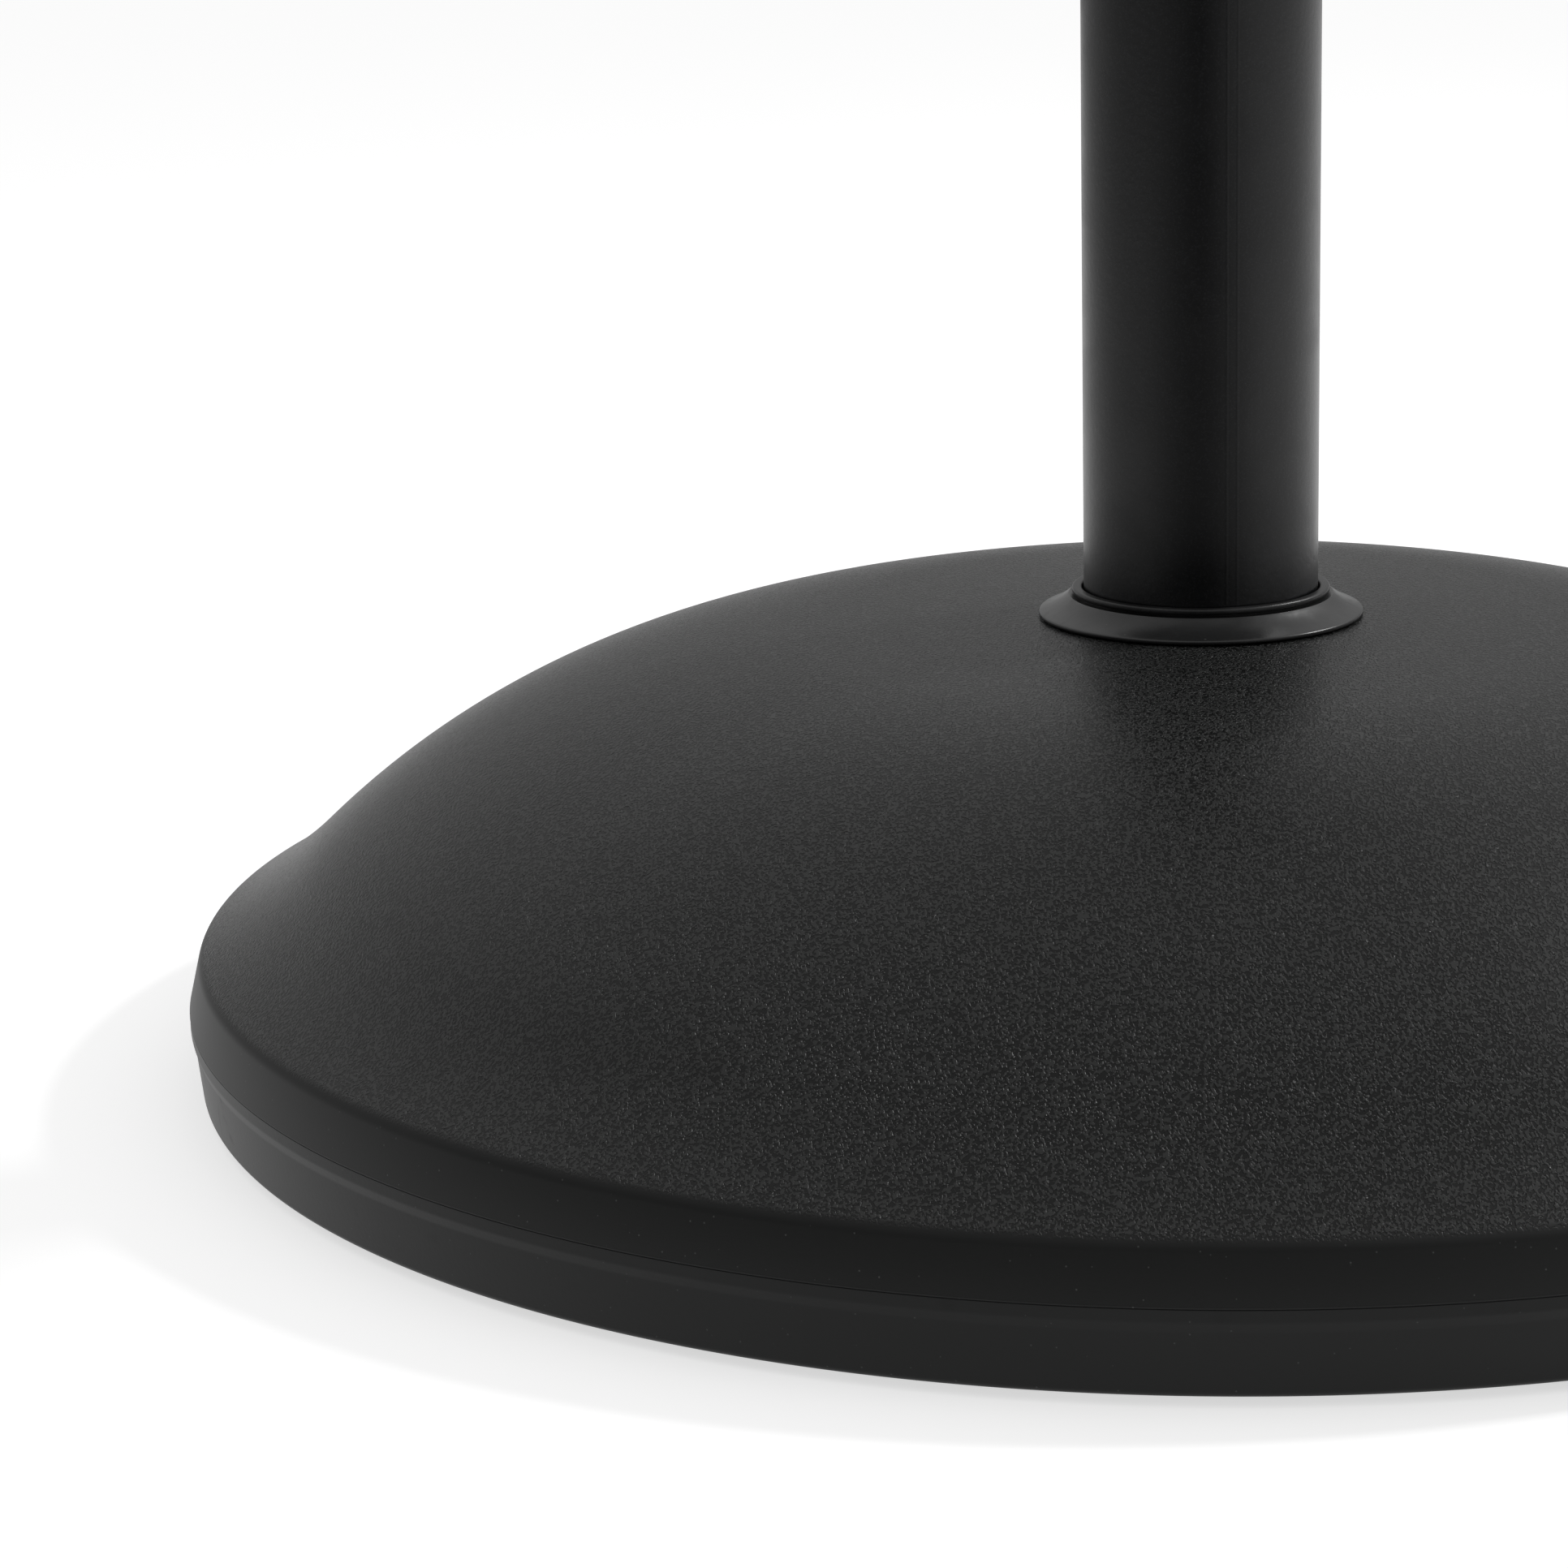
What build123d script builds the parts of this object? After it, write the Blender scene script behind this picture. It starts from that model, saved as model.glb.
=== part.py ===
from build123d import *
import math
import os

# A parasol base: a plastic dome filled with concrete, with a steel tube that clamps the pole.
# Millimetres. Z points up, the floor is z = 0, and the Z axis is the tube's axis.
# The clamp screw points along X. Sections are drawn as (radius, height) and turned about Z.

# ---- overall sizes ----
overall_height = 360.0  # floor to the tube's top edge
seam_r = 223.8  # where the cover's wall meets the pan
crown_z = 97.3  # top of the dome, if it ran on over the tube

# ---- tube and pole ----
tube_r = 25.5
tube_wall = 1.2
sleeve_step = 5.0  # the sleeve's bore is this much smaller in radius than the tube's
sleeve_wall = 1.8
sleeve_length = 100.0
sleeve_flange = 2.5
sleeve_flange_edge = 0.8
sleeve_ribs = 8
sleeve_rib_width = 3.0
running_gap = 0.1  # between the tube's bore and the sleeve's ribs
slot_width = 14.0
seat_height = 34.0  # above the tube's end plate
seat_recess = 10.0  # how deep the slimmer pole's end sits in the seat
seat_floor = 4.0
seat_wall = 2.2
drain_r = 4.0

overcut = 1.0  # a cutting shape runs on this far past the face that it opens

# ---- dome, as three tangent arcs; angles are the surface's slope in degrees ----
crown_slope = 2.6
shoulder_slope = 43.57
foot_slope = 30.1
foot_arc_r = 110.0
rim_drop = 65.5  # from the crown down to the end of the foot arc
rim_inset = 4.9  # the foot arc ends this far inside the seam
cover_wall = 3.5
rim_draft = 13.6  # the cover's upright wall leans in by this many degrees
rim_corner_r = 4.0

# ---- seam between cover and pan ----
foot_proud = 2.0  # the pan hangs this far above the floor
seam_z = 19.4
seam_gap = 0.6
bead_r = 1.2
bead_proud = 0.5
tongue_wall = 2.5
tongue_depth = 7.0
tongue_gap = 0.4
lip_wall = 4.8

# ---- pan ----
pan_bottom_inset = 2.2  # the pan's wall draws in by this much at its foot
pan_wall = 3.0
pan_edge_r = 1.5
floor_under_z = 8.0
floor_wall = 3.0
rib_wall = 2.2
rib_under_z = 3.0
rib_count = 12
rib_bite = 0.75  # ribs run this far into the pan's wall
rib_first_deg = 15.0

# ---- well for the tube, and the bolt under it ----
well_gap = 2.0  # filled by the bush
well_wall = 3.0
dish_gap = 2.5  # the dish under the floor is this much wider than the well
dish_under_z = 16.0
dish_floor = 4.0
bolt_r = 6.0
bolt_length = 35.0
bolt_head_r = 10.4
bolt_head_height = 7.5
bolt_point = 1.2  # chamfer on the end of the thread
hex_edge = 0.6  # chamfer on a hexagon's corners
hole_gap = 0.6
thread_gap = 0.05
spring_washer_r = 10.2
spring_washer_wall = 3.0
spring_washer_split = 2.5
load_washer_gap = 5.0
load_washer_wall = 3.0
load_washer_edge = 0.75
end_plate_wall = 6.0
weld_nut_r = 10.4
weld_nut_height = 10.0

# ---- bush in the well's mouth ----
bush_flange = 6.5  # beyond the tube
bush_flange_wall = 2.5
bush_depth = 25.0
bush_gap = 0.15

# ---- collar that slides on the tube ----
collar_reach = 9.8  # beyond the tube
collar_edge = 1.5
collar_edge_r = 1.2
collar_lift_gap = 0.3
collar_rise = 4.5
groove_reach = 0.7  # the cone's top edge stands this far outside the seal's lip
groove_depth = 1.0
groove_height = 0.66
seal_gap = 0.3
seal_wall = 1.0
lip_reach = 2.6  # beyond the tube
lip_height = 1.7
lip_edge_r = 0.6
collar_stop_gap = 1.0

# ---- screws that hold the cover to the pan ----
screw_count = 6
screw_circle_r = 122.0
screw_first_deg = 28.8
screw_r = 2.4
screw_length = 25.0
screw_head_r = 4.75
screw_head_height = 3.2
screw_head_edge = 1.0
screw_point = 1.2
screw_bite = 0.3
screw_seat_z = 7.5
boss_r = 6.5
post_r = 9.0
post_gap = 0.7
pilot_spare = 4.0

# ---- pour holes and plugs ----
plug_count = 2
plug_inset = 63.8  # from the seam to the plugs' centres
plug_first_deg = 120.0
pour_r = 30.0
pour_rim = 1.0  # the rim round a pour hole hangs this far below the floor
plug_gap = 0.3
plug_flange = 3.0
plug_flange_wall = 2.5
plug_skirt = 7.0
plug_wall = 2.5
plug_grip_wall = 3.0
plug_grip_height = 2.0

# ---- feet ----
foot_count = 6
foot_inset = 33.8  # from the seam to the feet's centres
foot_first_deg = 30.0
foot_r = 14.0
foot_height = 5.0
foot_wall = 3.0
foot_gap = 0.2
foot_edge = 0.8
concrete_gap = 0.3

# ---- clamp ----
clamp_drop = 60.0  # from the tube's top edge down to the screw
clamp_travel = 10.0
clamp_r = 4.0
clamp_boss_r = 9.0
clamp_boss_length = 12.5
clamp_boss_edge = 1.0
clamp_point = 0.7
pad_r = 3.2
pad_length = 3.0
pad_stem_r = 1.6
pad_stem_length = 6.0
pad_setback = 0.05
pad_edge = 0.75
knob_neck_r = 9.0
knob_neck_length = 6.0
knob_neck_edge = 1.0
knob_r = 22.5
knob_wall = 16.0
knob_lobes = 7
knob_flute_r = 8.0
knob_flute_depth = 3.2
knob_edge = 2.0
knob_gap = 1.0
hex_head_r = 7.4
hex_head_height = 5.5
cap_r = 11.0
cap_wall = 1.8
cap_proud = 1.2
cap_edge = 1.05
cap_gap = 0.1

# ---- sizes that follow from those above ----
tube_bore_r = tube_r - tube_wall
sleeve_bore_r = tube_bore_r - sleeve_step
sleeve_r = tube_bore_r - running_gap
well_r = tube_r + well_gap
bush_flange_r = tube_r + bush_flange
dish_r = well_r + dish_gap
load_washer_r = dish_r - load_washer_gap
collar_r = tube_r + collar_reach
collar_bore_r = tube_r + seal_gap + seal_wall
lip_r = tube_r + lip_reach
collar_top_r = lip_r + groove_reach
plug_circle_r = seam_r - plug_inset
foot_circle_r = seam_r - foot_inset
clamp_z = overall_height - clamp_drop
dish_top_z = dish_under_z + dish_floor
floor_top_z = floor_under_z + floor_wall
rim_r = seam_r - rim_inset
rim_z = crown_z - rim_drop
bead_z = seam_z - seam_gap - bead_r
lip_top_z = bead_z + bead_r
lip_inner_r = seam_r - lip_wall
tongue_r = lip_inner_r - tongue_gap
pan_inner_r = seam_r - pan_bottom_inset - pan_wall
knob_x = tube_r + clamp_boss_length + clamp_travel + knob_gap


def turned(points):
    """A solid of revolution from a straight-sided (radius, height) section."""
    return revolve(Plane.XZ * make_face(Polyline(*points, close=True)), Axis.Z)


def ring(inner_r, outer_r, z, height):
    """A plain washer shape standing on height z."""
    return turned([(inner_r, z), (outer_r, z), (outer_r, z + height), (inner_r, z + height)])


def around(shape, count, first_deg):
    """Copies of a shape at equal angles about the Z axis."""
    return [Rot(0, 0, first_deg + k * 360.0 / count) * shape for k in range(count)]


def crown_and_shoulder_radii():
    """The two arc radii that carry the surface from the crown to the rim."""
    a0, a1, a2 = (math.radians(a) for a in (crown_slope, shoulder_slope, foot_slope))
    reach = rim_r - foot_arc_r * (math.sin(a1) - math.sin(a2))
    drop = rim_drop - foot_arc_r * (math.cos(a2) - math.cos(a1))
    m11 = math.sin(a0)
    m12 = math.sin(a1) - math.sin(a0)
    m21 = 1 - math.cos(a0)
    m22 = math.cos(a0) - math.cos(a1)
    det = m11 * m22 - m12 * m21
    return (reach * m22 - drop * m12) / det, (drop * m11 - reach * m21) / det


crown_arc_r, shoulder_arc_r = crown_and_shoulder_radii()


def dome_centres():
    """Centres of the crown, shoulder and foot arcs, in (radius, height)."""
    a0, a1 = math.radians(crown_slope), math.radians(shoulder_slope)
    crown = (0.0, crown_z - crown_arc_r)
    step = crown_arc_r - shoulder_arc_r
    shoulder = (crown[0] + step * math.sin(a0), crown[1] + step * math.cos(a0))
    step = shoulder_arc_r + foot_arc_r
    foot = (shoulder[0] + step * math.sin(a1), shoulder[1] + step * math.cos(a1))
    return crown, shoulder, foot


def on_dome(arc, slope, inset):
    """A point of one dome arc where the surface has this slope, set in by a wall."""
    centre = dome_centres()[arc]
    a = math.radians(slope)
    if arc == 2:
        reach = -(foot_arc_r + inset)
    else:
        reach = (crown_arc_r, shoulder_arc_r)[arc] - inset
    return (centre[0] + reach * math.sin(a), centre[1] + reach * math.cos(a))


def crown_slope_at(r, inset=0.0):
    """Slope in degrees of the crown arc at a radius."""
    return math.degrees(math.asin(r / (crown_arc_r - inset)))


def foot_slope_at(r, inset=0.0):
    """Slope in degrees of the foot arc at a radius."""
    return math.degrees(math.asin((dome_centres()[2][0] - r) / (foot_arc_r + inset)))


def crown_z_at(r):
    """Height of the dome's crown at a radius."""
    return on_dome(0, crown_slope_at(r), 0.0)[1]


def dome_arcs(start_r, end_r, inset):
    """The dome's surface as three arcs, from a radius near the tube out to one near the rim."""
    start = crown_slope_at(start_r, inset)
    end = foot_slope_at(end_r, inset)
    slopes = ((start, crown_slope), (crown_slope, shoulder_slope), (shoulder_slope, end))
    arcs = []
    for arc, (first, last) in enumerate(slopes):
        places = [on_dome(arc, s, inset) for s in (first, (first + last) / 2, last)]
        arcs.append(ThreePointArc(*places))
    return arcs


bush_seat_z = crown_z_at(bush_flange_r) - bush_flange_wall
collar_z = crown_z_at(bush_flange_r) + collar_lift_gap
collar_travel = clamp_z - clamp_boss_r - collar_stop_gap - collar_z - collar_rise - lip_height


def rim_corner():
    """Where the foot's slope, carried on, would meet the cover's leaning wall."""
    run_z = math.tan(math.radians(foot_slope))
    lean = math.tan(math.radians(rim_draft))
    r = (seam_r - lean * (rim_z + run_z * rim_r - seam_z)) / (1 - lean * run_z)
    return (r, rim_z - run_z * (r - rim_r))


def cover_shell():
    """The dome, its upright wall, the tongue inside the seam, and the tube's well."""
    tongue_z = seam_z - tongue_depth
    tongue_in = tongue_r - tongue_wall
    outer = dome_arcs(bush_flange_r, rim_r, 0.0)
    inner = dome_arcs(well_r + well_wall, tongue_in, cover_wall)
    wall_path = [
        outer[2] @ 1,
        rim_corner(),
        (seam_r, seam_z),
        (tongue_r, seam_z),
        (tongue_r, tongue_z),
        (tongue_in, tongue_z),
        inner[2] @ 1,
    ]
    well_path = [
        inner[0] @ 0,
        (well_r + well_wall, dish_top_z),
        (well_r, dish_top_z),
        (well_r, bush_seat_z),
        (bush_flange_r, bush_seat_z),
        outer[0] @ 0,
    ]
    face = make_face(outer + [Polyline(*wall_path)] + inner + [Polyline(*well_path)])
    corner = face.vertices().sort_by_distance((*rim_corner(), 0))[0]
    return revolve(Plane.XZ * fillet(corner, rim_corner_r), Axis.Z)


def boss_height():
    """How high the screw bosses reach to end inside the dome's wall at their circle."""
    centre = dome_centres()[1]
    reach = screw_circle_r + boss_r - centre[0]
    return centre[1] + math.sqrt((shoulder_arc_r - cover_wall / 2) ** 2 - reach**2)


def top_cover():
    boss = ring(0.0, boss_r, floor_top_z, boss_height() - floor_top_z)
    bosses = around(Pos(screw_circle_r, 0, 0) * boss, screw_count, screw_first_deg)
    pilot_top = screw_seat_z + screw_length + pilot_spare
    pilot = ring(0.0, screw_r - screw_bite, floor_top_z, pilot_top - floor_top_z)
    pilots = around(Pos(screw_circle_r, 0, 0) * pilot, screw_count, screw_first_deg)
    return cover_shell() + bosses - pilots


def pan_shell():
    """Upright wall with a bead along its lip, a raised floor, and the dish for the bolt."""
    bottom_r = seam_r - pan_bottom_inset
    path = [
        (bolt_r + hole_gap, dish_under_z),
        (dish_r, dish_under_z),
        (dish_r, rib_under_z),
        (dish_r + pan_wall, rib_under_z),
        (dish_r + pan_wall, floor_under_z),
        (pan_inner_r, floor_under_z),
        (pan_inner_r, foot_proud),
        (bottom_r, foot_proud),
        (seam_r - bead_proud, bead_z),
        (seam_r - bead_proud, lip_top_z),
        (lip_inner_r, lip_top_z),
        (lip_inner_r, floor_top_z),
        (dish_r + pan_wall, floor_top_z),
        (dish_r + pan_wall, dish_top_z),
        (bolt_r + hole_gap, dish_top_z),
    ]
    face = make_face(Polyline(*path, close=True))
    edge = face.vertices().sort_by_distance((bottom_r, foot_proud, 0))[0]
    bead = Pos(seam_r - bead_proud, bead_z) * Circle(bead_r)
    return revolve(Plane.XZ * (fillet(edge, pan_edge_r) + bead), Axis.Z)


def bottom_pan():
    inner = dish_r + pan_wall / 2
    length = pan_inner_r + rib_bite - inner
    depth = floor_under_z + floor_wall / 2 - rib_under_z
    rib = Pos(inner + length / 2, 0, rib_under_z + depth / 2) * Box(length, rib_wall, depth)
    ribs = around(rib, rib_count, rib_first_deg)
    post = Pos(screw_circle_r, 0, 0) * ring(0.0, post_r, rib_under_z, depth)
    ribs += around(post, screw_count, screw_first_deg)
    cup = Pos(foot_circle_r, 0, 0) * ring(0.0, foot_r + foot_gap + foot_wall, rib_under_z, depth)
    ribs += around(cup, foot_count, foot_first_deg)
    collar = ring(pour_r, pour_r + pan_wall, floor_under_z - pour_rim, floor_wall + pour_rim)
    ribs += around(Pos(plug_circle_r, 0, 0) * collar, plug_count, plug_first_deg)
    head_room = ring(0.0, screw_head_r + post_gap, 0, screw_seat_z)
    shank_room = ring(0.0, screw_r + post_gap, 0, floor_top_z + overcut)
    screw_hole = Pos(screw_circle_r, 0, 0) * (head_room + shank_room)
    holes = around(screw_hole, screw_count, screw_first_deg)
    recess = Pos(foot_circle_r, 0, 0) * ring(0.0, foot_r + foot_gap, 0, foot_height)
    holes += around(recess, foot_count, foot_first_deg)
    flange_room = ring(0.0, pour_r + plug_flange + plug_gap, 0, floor_under_z - pour_rim)
    pour = ring(0.0, pour_r, 0, floor_top_z + overcut)
    pour = Pos(plug_circle_r, 0, 0) * (pour + flange_room)
    holes += around(pour, plug_count, plug_first_deg)
    return pan_shell() + ribs - holes


def concrete_fill():
    """Cast round the well and the screw bosses, a hair smaller than the shell that holds it."""
    inset = cover_wall + concrete_gap
    well_out = well_r + well_wall + concrete_gap
    dish_out = dish_r + pan_wall + concrete_gap
    side_r = tongue_r - tongue_wall - concrete_gap
    arcs = dome_arcs(well_out, side_r, inset)
    path = [
        arcs[2] @ 1,
        (side_r, floor_top_z),
        (dish_out, floor_top_z),
        (dish_out, dish_top_z),
        (well_out, dish_top_z),
        arcs[0] @ 0,
    ]
    block = revolve(Plane.XZ * make_face(arcs + [Polyline(*path)]), Axis.Z)
    boss_room = ring(0.0, boss_r + concrete_gap, 0, crown_z)
    plug_top = floor_top_z + plug_skirt
    plug_room = ring(0.0, pour_r + concrete_gap, 0, plug_top)
    rooms = around(Pos(screw_circle_r, 0, 0) * boss_room, screw_count, screw_first_deg)
    rooms += around(Pos(plug_circle_r, 0, 0) * plug_room, plug_count, plug_first_deg)
    return block - rooms


def filler_plug():
    """A push-in cap with a flange under the pan's floor, a skirt and a bar to pull it by."""
    skirt_r = pour_r - plug_gap
    flange_z = floor_under_z - pour_rim - plug_flange_wall
    flange_r = pour_r + plug_flange
    skirt_top = floor_top_z + plug_skirt - concrete_gap
    path = [
        (0.0, flange_z),
        (flange_r, flange_z),
        (flange_r, flange_z + plug_flange_wall),
        (skirt_r, flange_z + plug_flange_wall),
        (skirt_r, skirt_top),
        (skirt_r - plug_wall, skirt_top),
        (skirt_r - plug_wall, flange_z + plug_flange_wall),
        (0.0, flange_z + plug_flange_wall),
    ]
    bar_z = flange_z - plug_grip_height / 2
    bar = Pos(0, 0, bar_z) * Box(pour_r, plug_grip_wall, plug_grip_height)
    return Pos(plug_circle_r, 0, 0) * (turned(path) + bar)


def foot_pad():
    body = ring(0.0, foot_r, 0, foot_height)
    return Pos(foot_circle_r, 0, 0) * chamfer(body.edges().group_by(Axis.Z)[0], foot_edge)


def shell_screws():
    """Self-tapping screws whose threads cut into the cover's bosses."""
    head = ring(0.0, screw_head_r, screw_seat_z - screw_head_height, screw_head_height)
    head = fillet(head.edges().group_by(Axis.Z)[0], screw_head_edge)
    shank = ring(0.0, screw_r, screw_seat_z, screw_length)
    shank = chamfer(shank.edges().group_by(Axis.Z)[-1], screw_point)
    screw = Pos(screw_circle_r, 0, 0) * (head + shank)
    return Compound(children=around(screw, screw_count, screw_first_deg))


def tube():
    """Seam-welded steel tube, with the clamp screw's hole in one side."""
    foot_z = dish_top_z + end_plate_wall
    pipe = ring(tube_bore_r, tube_r, foot_z, overall_height - foot_z)
    hole = Pos(tube_r, 0, clamp_z) * Rot(0, 90, 0) * Cylinder(clamp_r + hole_gap / 2, tube_r)
    return pipe - hole


def tube_end_plate():
    return ring(bolt_r + hole_gap, tube_r, dish_top_z, end_plate_wall)


def hexagon(across_corners_r, z, height, bore_r):
    """A hexagonal block on the Z axis, with a bore if the radius is over zero."""
    block = Pos(0, 0, z) * extrude(RegularPolygon(across_corners_r, 6), height)
    crown_chamfer = ring(0.0, across_corners_r, z, height)
    crown_chamfer = chamfer(crown_chamfer.edges(), hex_edge)
    block = block & crown_chamfer
    if bore_r > 0:
        block = block - ring(0.0, bore_r, z, height)
    return block


def tube_weld_nut():
    return hexagon(weld_nut_r, dish_top_z + end_plate_wall, weld_nut_height, bolt_r + thread_gap)


def centre_bolt():
    """Hexagon bolt, put in from below."""
    seat_z = dish_under_z - load_washer_wall - spring_washer_wall
    head = hexagon(bolt_head_r, seat_z - bolt_head_height, bolt_head_height, 0.0)
    shank = ring(0.0, bolt_r, seat_z, bolt_length)
    return head + chamfer(shank.edges().group_by(Axis.Z)[-1], bolt_point)


def spring_washer():
    """Split lock washer."""
    z = dish_under_z - load_washer_wall - spring_washer_wall
    whole = ring(bolt_r + thread_gap, spring_washer_r, z, spring_washer_wall)
    reach = spring_washer_r * 2
    split = Pos(reach / 2, 0, z) * Box(reach, spring_washer_split, reach)
    return whole - split


def load_washer():
    z = dish_under_z - load_washer_wall
    body = ring(bolt_r + hole_gap, load_washer_r, z, load_washer_wall)
    return chamfer(body.edges().group_by(Axis.Z)[0].sort_by(SortBy.LENGTH)[-1], load_washer_edge)


def tube_bush():
    """Flanged plastic bush that centres the tube in the mouth of the well."""
    bore = tube_r + bush_gap
    path = [
        (bore, bush_seat_z - bush_depth),
        (well_r, bush_seat_z - bush_depth),
        (well_r, bush_seat_z),
        (bush_flange_r, bush_seat_z),
        (bush_flange_r, bush_seat_z + bush_flange_wall),
        (bore, bush_seat_z + bush_flange_wall),
    ]
    return turned(path)


def collar_ring():
    """Conical cover ring that rests on the dome and hides the well."""
    rise_z = collar_z + collar_rise
    path = [
        (collar_bore_r, collar_z),
        (collar_r, collar_z),
        (collar_r, collar_z + collar_edge),
        (collar_top_r, rise_z),
        (lip_r - groove_depth, rise_z - groove_height / 2),
        (collar_bore_r, rise_z - groove_height / 2),
    ]
    face = make_face(Polyline(*path, close=True))
    outer = face.vertices().sort_by_distance((collar_r, collar_z + collar_edge, 0))[0]
    return revolve(Plane.XZ * fillet(outer, collar_edge_r), Axis.Z)


def collar_seal():
    """Soft ring pressed into the collar, with a rolled lip that closes on the tube."""
    bore = tube_r + seal_gap
    rise_z = collar_z + collar_rise
    top_z = rise_z + lip_height
    path = [
        (bore, collar_z + collar_lift_gap),
        (collar_bore_r, collar_z + collar_lift_gap),
        (collar_bore_r, rise_z + groove_height / 2),
        (lip_r, rise_z + groove_height / 2),
        (lip_r, top_z),
        (bore, top_z),
    ]
    face = make_face(Polyline(*path, close=True))
    corners = [(lip_r, rise_z + groove_height / 2, 0), (lip_r, top_z, 0), (bore, top_z, 0)]
    picked = [face.vertices().sort_by_distance(c)[0] for c in corners]
    return revolve(Plane.XZ * fillet(picked, lip_edge_r), Axis.Z)


def pole_seat():
    """Upturned cup in the tube; the slimmer pole's end sits in its recess, over a drain hole."""
    z = dish_top_z + end_plate_wall
    outer = tube_bore_r - running_gap
    top = z + seat_height
    stop = top - seat_recess
    path = [
        (outer - seat_wall, z),
        (outer, z),
        (outer, top),
        (sleeve_bore_r, top),
        (sleeve_bore_r, stop),
        (drain_r, stop),
        (drain_r, stop - seat_floor),
        (outer - seat_wall, stop - seat_floor),
    ]
    return turned(path)


def reducer_sleeve():
    """Ribbed sleeve for the slimmer pole, with a slot that clears the clamp as it lifts out."""
    bottom = overall_height - sleeve_length
    skin_r = sleeve_bore_r + sleeve_wall
    skin = ring(sleeve_bore_r, skin_r, bottom, sleeve_length)
    flange = ring(sleeve_bore_r, tube_r, overall_height, sleeve_flange)
    flange = fillet(flange.edges().group_by(Axis.Z)[-1].sort_by(SortBy.LENGTH)[-1], sleeve_flange_edge)
    rib_reach = sleeve_r - sleeve_bore_r - sleeve_wall / 2
    rib = Pos(sleeve_r - rib_reach / 2, 0, bottom + sleeve_length / 2)
    rib = rib * Box(rib_reach, sleeve_rib_width, sleeve_length)
    round_off = ring(0.0, sleeve_r, bottom, sleeve_length)
    ribs = around(rib & round_off, sleeve_ribs, 180.0 / sleeve_ribs)
    slot_top = clamp_z + slot_width / 2
    slot_height = slot_top - bottom
    slot = Pos(tube_r / 2, 0, bottom + slot_height / 2) * Box(tube_r, slot_width, slot_height)
    return skin + flange + ribs - slot


def along_clamp(shape):
    """Lay a shape made on the Z axis along X, at the clamp's height."""
    return Pos(0, 0, clamp_z) * Rot(0, 90, 0) * shape


def clamp_boss():
    """Threaded steel boss, coped to the tube and welded on."""
    reach = tube_r + clamp_boss_length
    block = along_clamp(ring(0.0, clamp_boss_r, 0, reach))
    block = chamfer(block.edges().group_by(Axis.X)[-1], clamp_boss_edge)
    block = block - ring(0.0, tube_r, clamp_z - 2 * clamp_boss_r, 4 * clamp_boss_r)
    return block - along_clamp(ring(0.0, clamp_r + thread_gap, 0, reach))


def clamp_pad():
    """Swivelling nylon tip; its stem turns in the end of the screw."""
    face_x = tube_bore_r + pad_setback
    tip = ring(0.0, pad_r, face_x, pad_length)
    tip = fillet(tip.edges().group_by(Axis.Z)[0], pad_edge)
    return along_clamp(tip + ring(0.0, pad_stem_r, face_x + pad_length, pad_stem_length))


def screw_end_x():
    """Where the clamp screw's inner end stands when it is wound right out."""
    return tube_bore_r + pad_setback + pad_length + thread_gap


def clamp_screw():
    """Hexagon-headed screw, its head moulded into the knob."""
    start = screw_end_x()
    head_x = knob_x + knob_neck_length + knob_wall - cap_wall - hex_head_height
    shank = ring(0.0, clamp_r, start, head_x - start)
    shank = chamfer(shank.edges().group_by(Axis.Z)[0], clamp_point)
    socket = ring(0.0, pad_stem_r + thread_gap, start, pad_stem_length + thread_gap)
    return along_clamp(shank - socket + hexagon(hex_head_r, head_x, hex_head_height, 0.0))


def knob_grip():
    """Lobed hand knob, hollowed for the screw's head and closed by a cap."""
    body_x = knob_x + knob_neck_length
    body = ring(0.0, knob_r, body_x, knob_wall)
    flute = ring(0.0, knob_flute_r, body_x - overcut, knob_wall + 2 * overcut)
    flute = Pos(knob_r + knob_flute_r - knob_flute_depth, 0, 0) * flute
    body = body - around(flute, knob_lobes, 0.0)
    ends = body.edges().group_by(Axis.Z)[0] + body.edges().group_by(Axis.Z)[-1]
    body = fillet(ends, knob_edge)
    neck = ring(0.0, knob_neck_r, knob_x, knob_neck_length + overcut)
    neck = chamfer(neck.edges().group_by(Axis.Z)[0], knob_neck_edge)
    head_x = body_x + knob_wall - cap_wall - hex_head_height
    bore = ring(0.0, clamp_r, knob_x, head_x - knob_x)
    pocket = extrude(Pos(0, 0, head_x) * RegularPolygon(hex_head_r + cap_gap, 6), hex_head_height)
    cap_room = ring(0.0, cap_r + cap_gap, body_x + knob_wall - cap_wall, cap_wall)
    return along_clamp(body + neck - bore - pocket - cap_room)


def knob_cap():
    """Press-in disc that stands a little proud, with a rounded edge."""
    z = knob_x + knob_neck_length + knob_wall - cap_wall
    disc = ring(0.0, cap_r, z, cap_wall + cap_proud)
    return along_clamp(fillet(disc.edges().group_by(Axis.Z)[-1], cap_edge))


def write(name, shape):
    """Write one named piece."""
    export_step(shape, f"parts/{name}.step")


os.makedirs("parts", exist_ok=True)

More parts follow.
